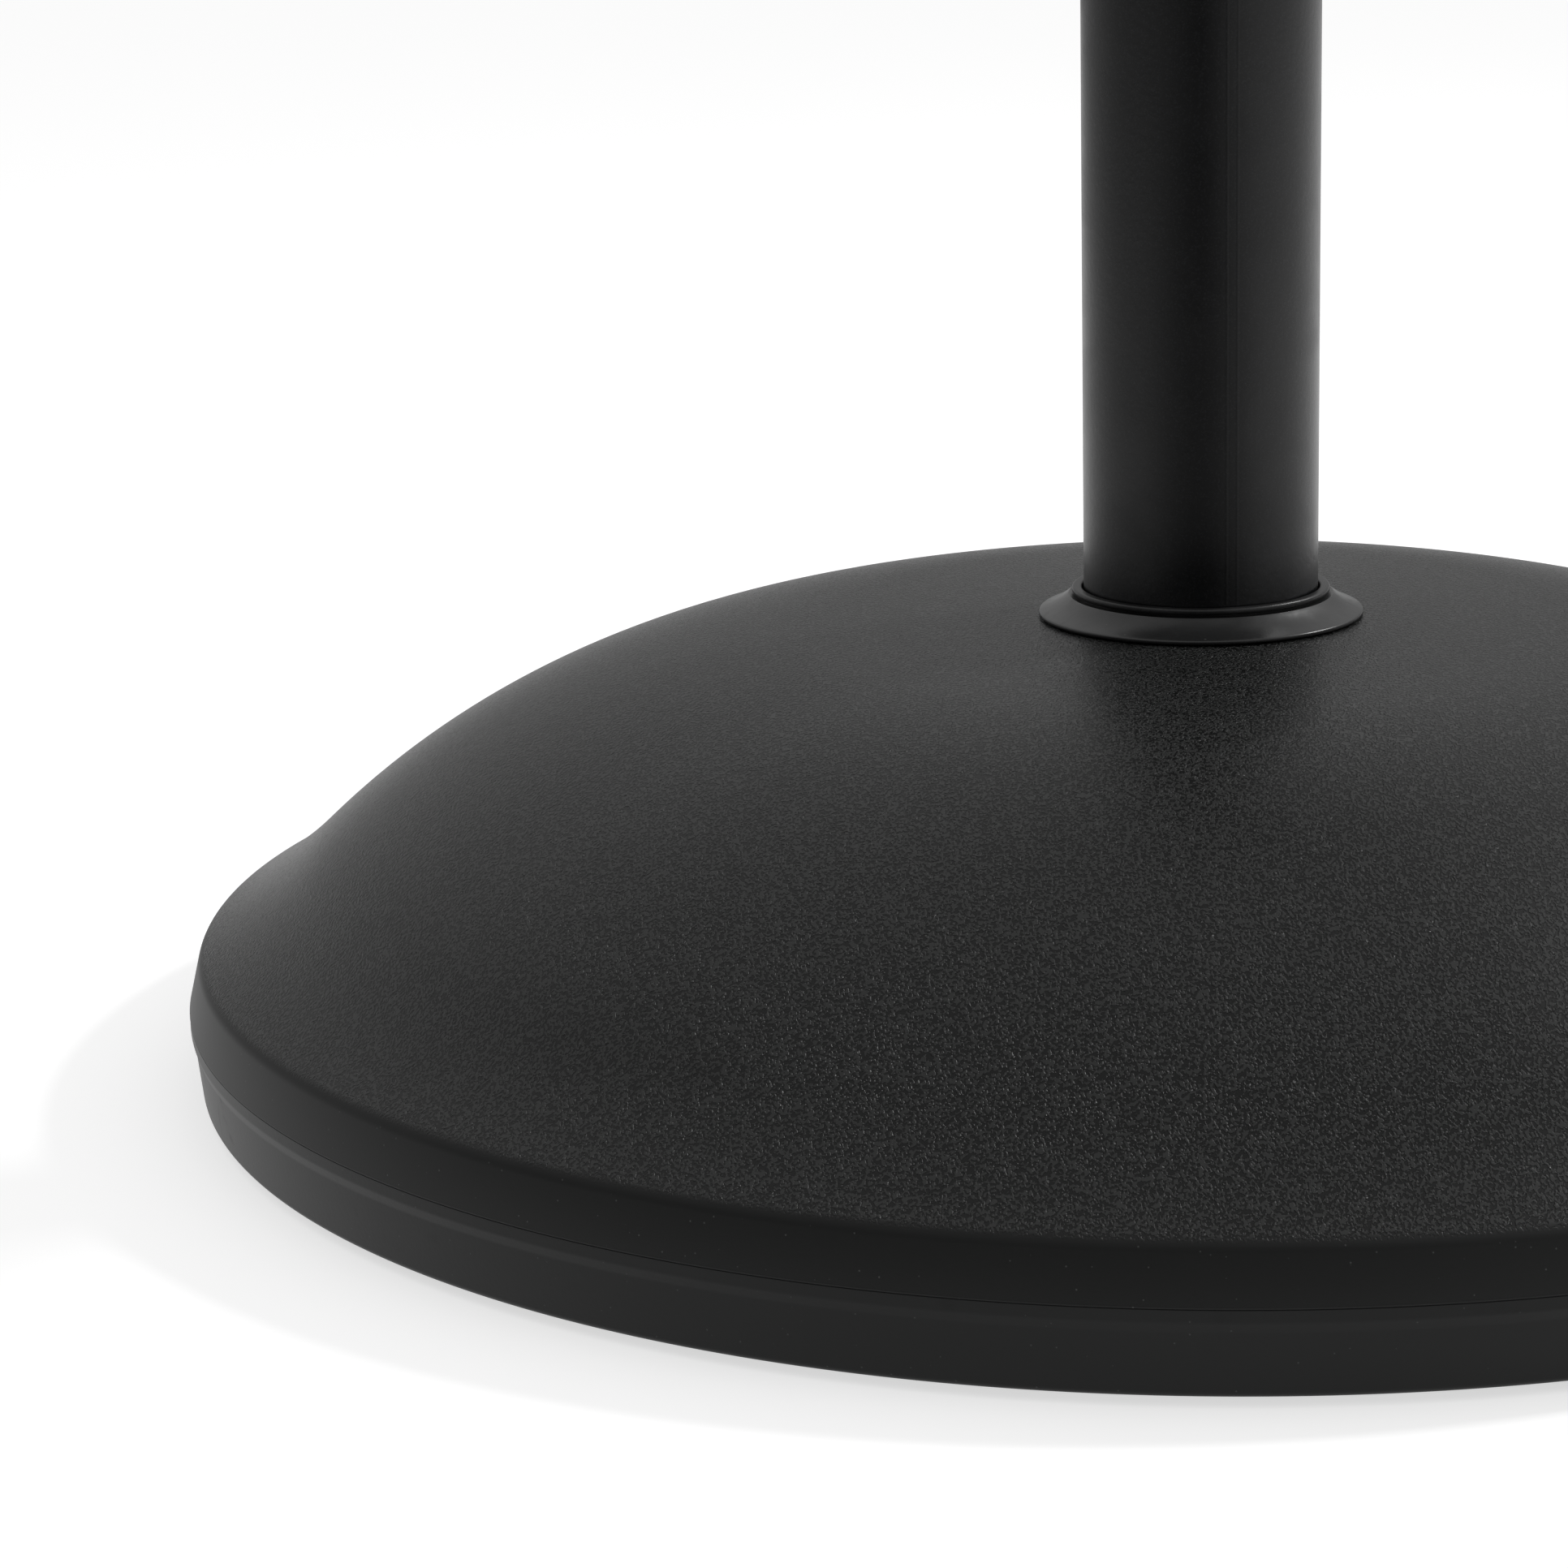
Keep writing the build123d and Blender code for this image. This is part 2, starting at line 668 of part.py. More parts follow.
write("top_cover", top_cover())
write("bottom_pan", bottom_pan())
write("concrete_fill", concrete_fill())
for k, plug in enumerate(around(filler_plug(), plug_count, plug_first_deg)):
    write(f"filler_plug_{k + 1}", plug)
for k, pad in enumerate(around(foot_pad(), foot_count, foot_first_deg)):
    write(f"foot_pad_{k + 1}", pad)
write("shell_screws", shell_screws())
write("tube", tube())
write("tube_end_plate", tube_end_plate())
write("tube_weld_nut", tube_weld_nut())
write("centre_bolt", centre_bolt())
write("spring_washer", spring_washer())
write("load_washer", load_washer())
write("tube_bush", tube_bush())
write("collar_ring", collar_ring())
write("collar_seal", collar_seal())
write("pole_seat", pole_seat())
write("reducer_sleeve", reducer_sleeve())
write("clamp_boss", clamp_boss())
write("clamp_pad", clamp_pad())
write("clamp_screw", clamp_screw())
write("knob_grip", knob_grip())
write("knob_cap", knob_cap())
print(f"collar travel {collar_travel:.2f}, collar top {collar_z + collar_rise + lip_height:.2f}")
print(f"crown arc {crown_arc_r:.1f}, shoulder arc {shoulder_arc_r:.1f}, knob at {knob_x:.1f}")
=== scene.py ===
import math

import bpy
from mathutils import Matrix, Vector


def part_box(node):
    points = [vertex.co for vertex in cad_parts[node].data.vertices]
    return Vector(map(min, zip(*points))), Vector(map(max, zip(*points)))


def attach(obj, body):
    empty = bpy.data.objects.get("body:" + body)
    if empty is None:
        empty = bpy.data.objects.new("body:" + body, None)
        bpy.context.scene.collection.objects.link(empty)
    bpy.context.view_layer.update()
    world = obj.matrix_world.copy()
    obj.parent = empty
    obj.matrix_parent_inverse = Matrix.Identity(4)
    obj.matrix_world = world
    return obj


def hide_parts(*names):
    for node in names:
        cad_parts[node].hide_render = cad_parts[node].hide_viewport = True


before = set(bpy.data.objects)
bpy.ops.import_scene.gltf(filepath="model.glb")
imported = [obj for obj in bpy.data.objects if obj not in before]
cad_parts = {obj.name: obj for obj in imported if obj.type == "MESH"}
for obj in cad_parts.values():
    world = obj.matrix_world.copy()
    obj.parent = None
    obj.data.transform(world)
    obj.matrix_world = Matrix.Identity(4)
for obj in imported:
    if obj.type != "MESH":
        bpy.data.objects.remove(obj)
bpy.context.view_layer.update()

# ---- Camera ----
# A long lens a little above the dome, close enough that the tube runs out of the top of the view
# and the right side of the dome out of its edge.
camera_back = 0.9604
camera_height = 0.2970
camera_turn = 5.496  # degrees, to the left of the tube
camera_tilt = 13.893  # degrees, downwards
camera_roll = -1.289
camera_data = bpy.data.cameras.new("camera")
camera_data.sensor_width = 36.0
camera_data.lens = 102.39
camera = bpy.data.objects.new("camera", camera_data)
bpy.context.scene.collection.objects.link(camera)
look = Matrix.Rotation(math.radians(camera_turn), 4, "Z")
look = look @ Matrix.Rotation(math.radians(90 - camera_tilt), 4, "X")
look = look @ Matrix.Rotation(math.radians(camera_roll), 4, "Z")
camera.matrix_world = Matrix.Translation((0, -camera_back, camera_height)) @ look
bpy.context.scene.camera = camera
bpy.context.scene.view_settings.view_transform = "Standard"


# ---- Floor and light ----
# A white floor under a pale sky that is dark only low down on the camera's side, so that black
# plastic shows its shape in what it reflects. One soft box at the right picks out the grain.
def shader_of(material):
    """A material's main shader node."""
    return material.node_tree.nodes["Principled BSDF"]


def new_finish(name, colour, roughness, gloss=0.5, metallic=0.0):
    """A material with its main shader set; gloss is the specular level, 0.5 for plain plastic."""
    material = bpy.data.materials.new(name)
    material.use_nodes = True
    shader = shader_of(material)
    shader.inputs["Base Color"].default_value = (*colour, 1.0)
    shader.inputs["Roughness"].default_value = roughness
    shader.inputs["Specular IOR Level"].default_value = gloss
    shader.inputs["Metallic"].default_value = metallic
    material.diffuse_color = (*colour, 1.0)
    return material


def make_mesh(name, points, faces, edges=()):
    """A new object from points and faces, linked into the scene."""
    mesh = bpy.data.meshes.new(name)
    mesh.from_pydata(points, list(edges), faces)
    mesh.update()
    piece = bpy.data.objects.new(name, mesh)
    bpy.context.scene.collection.objects.link(piece)
    return piece


def join(owner, out_socket, in_socket):
    """Wire one socket to another, in a material's nodes or the world's."""
    owner.node_tree.links.new(out_socket, in_socket)


def maths(owner, operation, a, b):
    """A maths node on sockets or plain numbers; returns its output."""
    node = owner.node_tree.nodes.new("ShaderNodeMath")
    node.operation = operation
    for socket, value in zip(node.inputs, (a, b)):
        if isinstance(value, (int, float)):
            socket.default_value = value
        else:
            join(owner, value, socket)
    return node.outputs[0]


def ramp(owner, value, low_in, high_in, low_out=0.0, high_out=1.0):
    """A smooth step from one value to another."""
    node = owner.node_tree.nodes.new("ShaderNodeMapRange")
    node.interpolation_type = "SMOOTHSTEP"
    join(owner, value, node.inputs["Value"])
    ends = (("From Min", low_in), ("From Max", high_in), ("To Min", low_out), ("To Max", high_out))
    for label, number in ends:
        node.inputs[label].default_value = number
    return node.outputs["Result"]


def blended(owner, share, first, second):
    """A mix of two values: all of the first where share is 0, all of the second where it is 1."""
    kept = maths(owner, "MULTIPLY", maths(owner, "SUBTRACT", 1.0, share), first)
    return maths(owner, "ADD", kept, maths(owner, "MULTIPLY", share, second))


floor_half = 30.0
floor_white = 0.55
floor_glow = 0.64
floor_dark = 0.06
dim_from_y, dim_full_y = -0.40, -0.60
dim_half_width, dim_reach = 0.45, 1.0
dim_from_left, dim_full_left = -0.7, -1.4
left_dimming = 0.6
floor_signs = ((-1, -1), (1, -1), (1, 1), (-1, 1))
floor_corners = [(x * floor_half, y * floor_half, 0) for x, y in floor_signs]
floor = make_mesh("floor", floor_corners, [(0, 1, 2, 3)])
floor_paint = new_finish("floor_paint", (floor_white,) * 3, 0.95, 0.0)
floor_shader = shader_of(floor_paint)
floor_shader.inputs["Emission Color"].default_value = (1.0, 1.0, 1.0, 1.0)
floor_place = floor_paint.node_tree.nodes.new("ShaderNodeTexCoord")
floor_axes = floor_paint.node_tree.nodes.new("ShaderNodeSeparateXYZ")
join(floor_paint, floor_place.outputs["Object"], floor_axes.inputs[0])
floor_x, floor_y = floor_axes.outputs["X"], floor_axes.outputs["Y"]
beyond = ramp(floor_paint, floor_y, dim_from_y, dim_full_y)
from_middle = maths(floor_paint, "ABSOLUTE", floor_x, 0.0)
narrow = ramp(floor_paint, from_middle, dim_reach, dim_half_width)
far_left = ramp(floor_paint, floor_x, dim_from_left, dim_full_left, 0.0, left_dimming)
dim_parts = maths(floor_paint, "MAXIMUM", maths(floor_paint, "MULTIPLY", beyond, narrow), far_left)
# The floor glows and looks evenly white; painted shade makes only what the plastic mirrors and
# gathers from it dimmer, on the camera's side and far to the left.
ray_kind = floor_paint.node_tree.nodes.new("ShaderNodeLightPath")
mirrored = maths(floor_paint, "SUBTRACT", 1.0, ray_kind.outputs["Is Camera Ray"])
shaded = maths(floor_paint, "MULTIPLY", dim_parts, mirrored)
light_share = blended(floor_paint, shaded, 1.0, floor_dark)
glow = maths(floor_paint, "MULTIPLY", light_share, floor_glow)
join(floor_paint, glow, floor_shader.inputs["Emission Strength"])
floor_grey = floor_paint.node_tree.nodes.new("ShaderNodeCombineColor")
for channel in floor_grey.inputs[:3]:
    join(floor_paint, maths(floor_paint, "MULTIPLY", light_share, floor_white), channel)
join(floor_paint, floor_grey.outputs[0], floor_shader.inputs["Base Color"])
floor.data.materials.append(floor_paint)

sky_overhead = 0.66
sky_left = 0.48
sky_right = 0.28
sky_camera_side = 0.05
right_edge = (math.radians(22), math.radians(36))
left_edge = (math.radians(-65), math.radians(-115))
front_rise = (0.25, 0.80)
round_rise = (0.16, 0.58)
side_spread = 0.6
world = bpy.data.worlds.new("studio")
world.use_nodes = True
direction = world.node_tree.nodes.new("ShaderNodeTexCoord")
axes = world.node_tree.nodes.new("ShaderNodeSeparateXYZ")
join(world, direction.outputs["Generated"], axes.inputs[0])
towards_camera = maths(world, "MULTIPLY", axes.outputs["Y"], -1.0)
azimuth = maths(world, "ARCTAN2", axes.outputs["X"], towards_camera)
clear_right = ramp(world, azimuth, *right_edge)
clear_left = ramp(world, azimuth, *left_edge)
clear = maths(world, "MAXIMUM", clear_right, clear_left)
side = ramp(world, axes.outputs["X"], -side_spread, side_spread, sky_left, sky_right)
front_height = ramp(world, axes.outputs["Z"], *front_rise)
round_height = ramp(world, axes.outputs["Z"], *round_rise)
front_sky = blended(world, front_height, sky_camera_side, sky_overhead)
round_sky = blended(world, round_height, side, sky_overhead)
strength = blended(world, clear, front_sky, round_sky)
join(world, strength, world.node_tree.nodes["Background"].inputs["Strength"])
world.node_tree.nodes["Background"].inputs["Color"].default_value = (1.0, 1.0, 1.0, 1.0)
bpy.context.scene.world = world


def soft_light(name, place, target, width, watts):
    """A square soft box that faces a point."""
    lamp = bpy.data.lights.new(name, "AREA")
    lamp.shape = "SQUARE"
    lamp.size = width
    lamp.energy = watts
    box = bpy.data.objects.new(name, lamp)
    bpy.context.scene.collection.objects.link(box)
    box.location = place
    box.rotation_euler = (Vector(target) - Vector(place)).to_track_quat("-Z", "Y").to_euler()


soft_light("grain_light", (1.30, 0.65, 1.40), (0, 0, 0.05), 0.18, 17.0)

# ---- Top cover ----
# The dome, injection moulded in black polypropylene with a leather grain that stops short of a
# smooth rim band. Its tongue drops inside the pan's lip, and the well in its middle takes the tube.
low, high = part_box("top_cover")
bush_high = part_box("tube_bush")[1]
seam_r = high[0]
seam_z = 0.0194
crown_arc = 1.88290
shoulder_arc = 0.17524
foot_arc = 0.110
crown_slope = math.radians(2.6)
shoulder_slope = math.radians(43.57)
foot_slope = math.radians(30.1)
cover_wall = 0.0035
tongue_r = seam_r - 0.0052
tongue_wall = 0.0025
tongue_z = seam_z - 0.007
flange_r = bush_high[0]
flange_wall = 0.0025
well_r = 0.0275
well_wall = 0.003
dish_top_z = 0.020
crown_z = high[2] + crown_arc - math.sqrt(crown_arc**2 - flange_r**2)
turn_steps = 360
sharp_corner = math.radians(32)


def arc(centre, radius, first, last, steps):
    """Points of an arc in a section, from one slope to another, both ends included."""
    points = []
    for k in range(steps + 1):
        a = first + (last - first) * k / steps
        points.append((centre[0] + radius * math.sin(a), centre[1] + radius * math.cos(a)))
    return points


def dome_line(inset, inner_r, outer_r):
    """The dome's surface in section, set in by a wall, between two radii."""
    crown = (0.0, crown_z - crown_arc)
    step = crown_arc - shoulder_arc
    shoulder = (step * math.sin(crown_slope), crown[1] + step * math.cos(crown_slope))
    step = shoulder_arc + foot_arc
    across, up = step * math.sin(shoulder_slope), step * math.cos(shoulder_slope)
    foot = (shoulder[0] + across, shoulder[1] + up)
    start = math.asin(inner_r / (crown_arc - inset))
    end = math.asin((foot[0] - outer_r) / (foot_arc + inset))
    line = arc(crown, crown_arc - inset, start, crown_slope, 12)
    line += arc(shoulder, shoulder_arc - inset, crown_slope, shoulder_slope, 40)[1:]
    line += arc(foot, -foot_arc - inset, shoulder_slope, end, 12)[1:]
    return line


def rounded(points, corners):
    """A section with chosen corners rounded: corners maps a point's index to a radius."""
    line = []
    for k, here in enumerate(points):
        if k not in corners:
            line.append(here)
            continue
        here = Vector(here)
        back = (Vector(points[k - 1]) - here).normalized()
        on = (Vector(points[(k + 1) % len(points)]) - here).normalized()
        half = back.angle(on) / 2
        centre = here + (back + on).normalized() * corners[k] / math.sin(half)
        cut = corners[k] / math.tan(half)
        first = here + back * cut - centre
        last = here + on * cut - centre
        turn = first.angle_signed(last)
        steps = 6
        for j in range(steps + 1):
            spoke = first.copy()
            spoke.rotate(Matrix.Rotation(-turn * j / steps, 2))
            line.append(tuple(centre + spoke))
    return line


def start_tree(name, sockets):
    """A Geometry Nodes tree with these inputs, a finish and one output; also its input node."""
    tree = bpy.data.node_groups.new(name, "GeometryNodeTree")
    for label, kind in (*sockets, ("Finish", "Material")):
        tree.interface.new_socket(label, in_out="INPUT", socket_type="NodeSocket" + kind)
    tree.interface.new_socket("Piece", in_out="OUTPUT", socket_type="NodeSocketGeometry")
    return tree, tree.nodes.new("NodeGroupInput")


def end_tree(tree, given, shape):
    """The end of every tree: instances made real, the finish set, and the piece handed out."""
    real = tree.nodes.new("GeometryNodeRealizeInstances")
    finish = tree.nodes.new("GeometryNodeSetMaterial")
    result = tree.nodes.new("NodeGroupOutput")
    tree.links.new(shape, real.inputs["Geometry"])
    tree.links.new(real.outputs["Geometry"], finish.inputs["Geometry"])
    tree.links.new(given.outputs["Finish"], finish.inputs["Material"])
    tree.links.new(finish.outputs["Geometry"], result.inputs["Piece"])
    return tree


def turning_tree():
    """Geometry Nodes that carry a section round the Z axis as a closed skin."""
    sockets = (("Section", "Geometry"), ("Steps", "Int"), ("Path radius", "Float"))
    tree, given = start_tree("turned_section", sockets)
    outline = tree.nodes.new("GeometryNodeMeshToCurve")
    path = tree.nodes.new("GeometryNodeCurvePrimitiveCircle")
    skin = tree.nodes.new("GeometryNodeCurveToMesh")
    tree.links.new(given.outputs["Section"], outline.inputs["Mesh"])
    tree.links.new(given.outputs["Steps"], path.inputs["Resolution"])
    tree.links.new(given.outputs["Path radius"], path.inputs["Radius"])
    tree.links.new(path.outputs["Curve"], skin.inputs["Curve"])
    tree.links.new(outline.outputs["Curve"], skin.inputs["Profile Curve"])
    return end_tree(tree, given, skin.outputs["Mesh"])


turning = turning_tree()


def keep_result(piece):
    """Turn what a piece's modifiers make into its plain mesh, and drop the modifiers."""
    piece.update_tag()
    bpy.context.view_layer.update()
    ready = piece.evaluated_get(bpy.context.evaluated_depsgraph_get())
    mesh = bpy.data.meshes.new_from_object(ready)
    piece.modifiers.clear()
    piece.data = mesh
    mesh.name = piece.name


def run_nodes(piece, tree, **values):
    """Put a Geometry Nodes tree on a piece, set its named inputs, and keep the plain result."""
    step = piece.modifiers.new("make", "NODES")
    step.node_group = tree
    for socket in tree.interface.items_tree:
        label = socket.name.lower().replace(" ", "_")
        if socket.in_out == "INPUT" and label in values:
            step[socket.identifier] = values[label]
    keep_result(piece)


def smooth_shade(piece):
    """Smooth shading that breaks at sharp corners."""
    for face in piece.data.polygons:
        face.use_smooth = True
    piece.data.set_sharp_from_angle(angle=sharp_corner)


def turned(name, section, finish, steps=turn_steps):
    """A piece turned about the Z axis from a closed section of (radius, height) points."""
    area = sum(a[0] * b[1] - b[0] * a[1] for a, b in zip(section, section[1:] + section[:1]))
    if area > 0:
        section = section[::-1]
    path_r = max(r for r, z in section)
    count = len(section)
    outline = [(r - path_r, -z, 0) for r, z in section]
    loop = [(k, (k + 1) % count) for k in range(count)]
    piece = make_mesh(name, outline, [], loop)
    run_nodes(piece, turning, steps=steps, path_radius=path_r, finish=finish)
    smooth_shade(piece)
    return piece


def millimetres(material):
    """The piece's own coordinates, in millimetres."""
    place = material.node_tree.nodes.new("ShaderNodeTexCoord")
    scale = material.node_tree.nodes.new("ShaderNodeVectorMath")
    scale.operation = "SCALE"
    scale.inputs["Scale"].default_value = 1000.0
    join(material, place.outputs["Object"], scale.inputs[0])
    return scale.outputs[0]


def noise(material, coords, grain, detail=0.0, distortion=0.0):
    """A noise field whose grain is about this many millimetres."""
    node = material.node_tree.nodes.new("ShaderNodeTexNoise")
    node.inputs["Scale"].default_value = 1.0 / grain
    node.inputs["Detail"].default_value = detail
    node.inputs["Distortion"].default_value = distortion
    join(material, coords, node.inputs["Vector"])
    return node.outputs["Fac"]


def tint(material, mask, dark, light):
    """The base colour, from one tone to another by a mask."""
    mix = material.node_tree.nodes.new("ShaderNodeMix")
    mix.data_type = "RGBA"
    mix.clamp_factor = False
    join(material, mask, mix.inputs["Factor"])
    mix.inputs[6].default_value = (*dark, 1.0)
    mix.inputs[7].default_value = (*light, 1.0)
    join(material, mix.outputs[2], shader_of(material).inputs["Base Color"])


def raise_surface(material, height, depth_mm, strength=1.0):
    """Bump from a height field, with its full depth in millimetres."""
    bump = material.node_tree.nodes.new("ShaderNodeBump")
    bump.inputs["Strength"].default_value = strength
    bump.inputs["Distance"].default_value = depth_mm / 1000.0
    join(material, height, bump.inputs["Height"])
    join(material, bump.outputs["Normal"], shader_of(material).inputs["Normal"])


def set_roughness(material, value):
    """The roughness, from a socket that varies over the surface."""
    join(material, value, shader_of(material).inputs["Roughness"])


def dust(material, coords, grain, share):
    """A mask of sparse specks, each about the grain's size."""
    cells = material.node_tree.nodes.new("ShaderNodeTexVoronoi")
    cells.inputs["Scale"].default_value = 1.0 / grain
    join(material, coords, cells.inputs["Vector"])
    picked = material.node_tree.nodes.new("ShaderNodeSeparateColor")
    join(material, cells.outputs["Color"], picked.inputs["Color"])
    chosen = maths(material, "LESS_THAN", picked.outputs["Red"], share)
    near = ramp(material, cells.outputs["Distance"], 0.25, 0.12)
    return maths(material, "MULTIPLY", chosen, near)


def grained_plastic():
    """Black polypropylene with fine winding ridges, smooth outside the grain's edge."""
    black = (0.0020, 0.0022, 0.0021)
    wear_and_ridge_light = (0.0260, 0.0268, 0.0262)
    smooth_share = 0.20
    grain_edge = (seam_r - 0.0030) * 1000
    edge_fade = 1.6
    ridge_depth = 0.24
    material = new_finish("grained_plastic", black, 0.46, 0.25)
    coords = millimetres(material)
    split = material.node_tree.nodes.new("ShaderNodeSeparateXYZ")
    join(material, coords, split.inputs[0])
    squares = [maths(material, "MULTIPLY", split.outputs[k], split.outputs[k]) for k in (0, 1)]
    reach = maths(material, "SQRT", maths(material, "ADD", *squares), 0.0)
    inside = ramp(material, reach, grain_edge, grain_edge - edge_fade)
    drawn = material.node_tree.nodes.new("ShaderNodeVectorMath")
    drawn.operation = "MULTIPLY"
    drawn.inputs[1].default_value = (1.15, 0.75, 1.0)
    join(material, coords, drawn.inputs[0])
    swirl = noise(material, drawn.outputs[0], 0.62, 0.0, 0.5)
    ridges = maths(material, "MULTIPLY", ramp(material, swirl, 0.43, 0.58), inside)
    satin = maths(material, "MULTIPLY", noise(material, coords, 0.35, 1.0), 0.05)
    raise_surface(material, maths(material, "ADD", ridges, satin), ridge_depth)
    set_roughness(material, blended(material, inside, 0.50, 0.34))
    specks = dust(material, coords, 0.9, 0.04)
    plain = maths(material, "MULTIPLY", maths(material, "SUBTRACT", 1.0, inside), smooth_share)
    # Painted light and shade: the grain's ridge tops are painted lighter and the hollows between
    # them black, standing in for the light and shadow of the relief.
    lighter = maths(material, "ADD", maths(material, "MULTIPLY", ridges, 0.9), plain)
    bright_specks = maths(material, "MULTIPLY", specks, 1.8)
    tint(material, maths(material, "ADD", lighter, bright_specks), black, wear_and_ridge_light)
    return material


rim_corner_r = 0.004
rim_draft = math.radians(13.6)
rim_start_r = seam_r - 0.0049
outer_line = dome_line(0.0, flange_r, rim_start_r)
inner_line = dome_line(cover_wall, well_r + well_wall, tongue_r - tongue_wall)
run, lean = math.tan(foot_slope), math.tan(rim_draft)
start_z = outer_line[-1][1]
corner_r = (seam_r - lean * (start_z + run * rim_start_r - seam_z)) / (1 - lean * run)
corner_z = start_z - run * (corner_r - rim_start_r)
edge_path = [
    outer_line[-1],
    (corner_r, corner_z),
    (seam_r, seam_z),
    (tongue_r, seam_z),
    (tongue_r, tongue_z),
    (tongue_r - tongue_wall, tongue_z),
]
edge_line = rounded(edge_path, {1: rim_corner_r, 2: 0.0002, 4: 0.0006, 5: 0.0006})
seat_z = high[2] - flange_wall
well_line = [
    (well_r + well_wall, dish_top_z),
    (well_r, dish_top_z),
    (well_r, seat_z),
    (flange_r, seat_z),
]
cover_section = outer_line[:-1] + edge_line + inner_line[::-1] + well_line
cover = turned("dome_cover", cover_section, grained_plastic())
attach(cover, "base")
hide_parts("top_cover")


# ---- Bottom pan ----
# The lower shell, moulded in the same black plastic but left smooth. A fine line and a soft step
# run just below its lip; underneath are a raised floor, ribs, cups for the feet and screw posts.
low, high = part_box("bottom_pan")
pan_low_z = low[2]
lip_r = seam_r - 0.0001
line_drop = 0.0007
line_depth = 0.00012
band_drop = 0.0032
step_drop = 0.0052
step_in = 0.0007
pan_bottom_r = seam_r - 0.0022
pan_edge_r = 0.0015
pan_wall = 0.003
pan_inner_r = pan_bottom_r - pan_wall
lip_inner_r = seam_r - 0.0048
floor_under_z = 0.008
floor_top_z = 0.011
dish_r = 0.030
dish_under_z = 0.016
bolt_hole_r = 0.0066
rib_under_z = 0.003
rib_wall = 0.0022
rib_count = 12
rib_turn = math.radians(15)
rib_root = 0.001
rib_overlap = 0.0006
post_root = 0.0005


def smooth_plastic(name, colour, roughness, gloss):
    """Moulded plastic off a polished tool: a faint ripple, dust and a few light scuffs."""
    material = new_finish(name, colour, roughness, gloss)
    coords = millimetres(material)
    ripple = noise(material, coords, 0.9, 2.0)
    raise_surface(material, ripple, 0.018)
    scuffs = ramp(material, noise(material, coords, 14.0, 6.0, 1.2), 0.60, 0.78)
    rougher = maths(material, "MULTIPLY", scuffs, 0.10)
    set_roughness(material, maths(material, "ADD", rougher, roughness))
    specks = dust(material, coords, 0.9, 0.035)
    tint(material, specks, colour, tuple(5 * c for c in colour))
    return material


pan_black = (0.0068, 0.0071, 0.0070)
smooth_black = smooth_plastic("smooth_plastic", pan_black, 0.42, 0.20)
pan_path = [
    (bolt_hole_r, dish_under_z),
    (dish_r, dish_under_z),
    (dish_r, rib_under_z),
    (dish_r + pan_wall, rib_under_z),
    (dish_r + pan_wall, floor_under_z),
    (pan_inner_r, floor_under_z),
    (pan_inner_r, pan_low_z),
    (pan_bottom_r, pan_low_z),
    (lip_r - step_in, high[2] - step_drop),
    (lip_r, high[2] - band_drop),
    (lip_r, high[2] - line_drop - line_depth),
    (lip_r - line_depth, high[2] - line_drop),
    (lip_r, high[2] - line_drop + line_depth),
    (lip_r, high[2]),
    (lip_inner_r, high[2]),
    (lip_inner_r, floor_top_z),
    (dish_r + pan_wall, floor_top_z),
    (dish_r + pan_wall, dish_top_z),
    (bolt_hole_r, dish_top_z),
]
pan_corners = {1: 0.001, 2: 0.0006, 3: 0.0006, 4: 0.001, 5: 0.001, 6: 0.0006, 7: pan_edge_r}
pan_corners.update({8: 0.0030, 9: 0.0020, 13: 0.0002, 14: 0.0004})
pan = turned("pan_shell", rounded(pan_path, pan_corners), smooth_black)
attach(pan, "base")
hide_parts("bottom_pan")


def ring_tree():
    """Geometry Nodes that set copies of a shape at equal angles round the Z axis."""
    sockets = (("Shape", "Geometry"), ("Count", "Int"), ("First angle", "Float"))
    tree, given = start_tree("ring_of_copies", sockets)
    spots = tree.nodes.new("GeometryNodePoints")
    index = tree.nodes.new("GeometryNodeInputIndex")
    share = tree.nodes.new("ShaderNodeMath")
    turn = tree.nodes.new("ShaderNodeMath")
    spin = tree.nodes.new("ShaderNodeCombineXYZ")
    copies = tree.nodes.new("GeometryNodeInstanceOnPoints")
    share.operation = "DIVIDE"
    turn.operation = "MULTIPLY_ADD"
    turn.inputs[1].default_value = 2 * math.pi
    tree.links.new(given.outputs["Count"], spots.inputs["Count"])
    tree.links.new(index.outputs["Index"], share.inputs[0])
    tree.links.new(given.outputs["Count"], share.inputs[1])
    tree.links.new(share.outputs[0], turn.inputs[0])
    tree.links.new(given.outputs["First angle"], turn.inputs[2])
    tree.links.new(turn.outputs[0], spin.inputs["Z"])
    tree.links.new(spots.outputs[0], copies.inputs["Points"])
    tree.links.new(given.outputs["Shape"], copies.inputs["Instance"])
    tree.links.new(spin.outputs[0], copies.inputs["Rotation"])
    return end_tree(tree, given, copies.outputs["Instances"])


ring_of = ring_tree()
rib_in = dish_r + pan_wall
rib_ends = (rib_in - rib_overlap, pan_inner_r + rib_overlap)
half = rib_wall / 2
rib_top_z = floor_under_z + rib_root
rib_outline = [(-half, rib_top_z), (-half, rib_under_z), (half, rib_under_z), (half, rib_top_z)]
rib_points = [(x, y, z) for x in rib_ends for y, z in rib_outline]
rib_faces = [(0, 3, 2, 1), (4, 5, 6, 7), (0, 1, 5, 4), (1, 2, 6, 5), (2, 3, 7, 6), (3, 0, 4, 7)]
ribs = make_mesh("pan_ribs", rib_points, rib_faces)
run_nodes(ribs, ring_of, count=rib_count, first_angle=rib_turn, finish=smooth_black)
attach(ribs, "base")


def turned_about(name, section, centre, finish, steps):
    """A turned piece whose axis stands at a point beside the Z axis."""
    piece = turned(name, section, finish, steps)
    piece.data.transform(Matrix.Translation((*centre, 0)))
    return piece


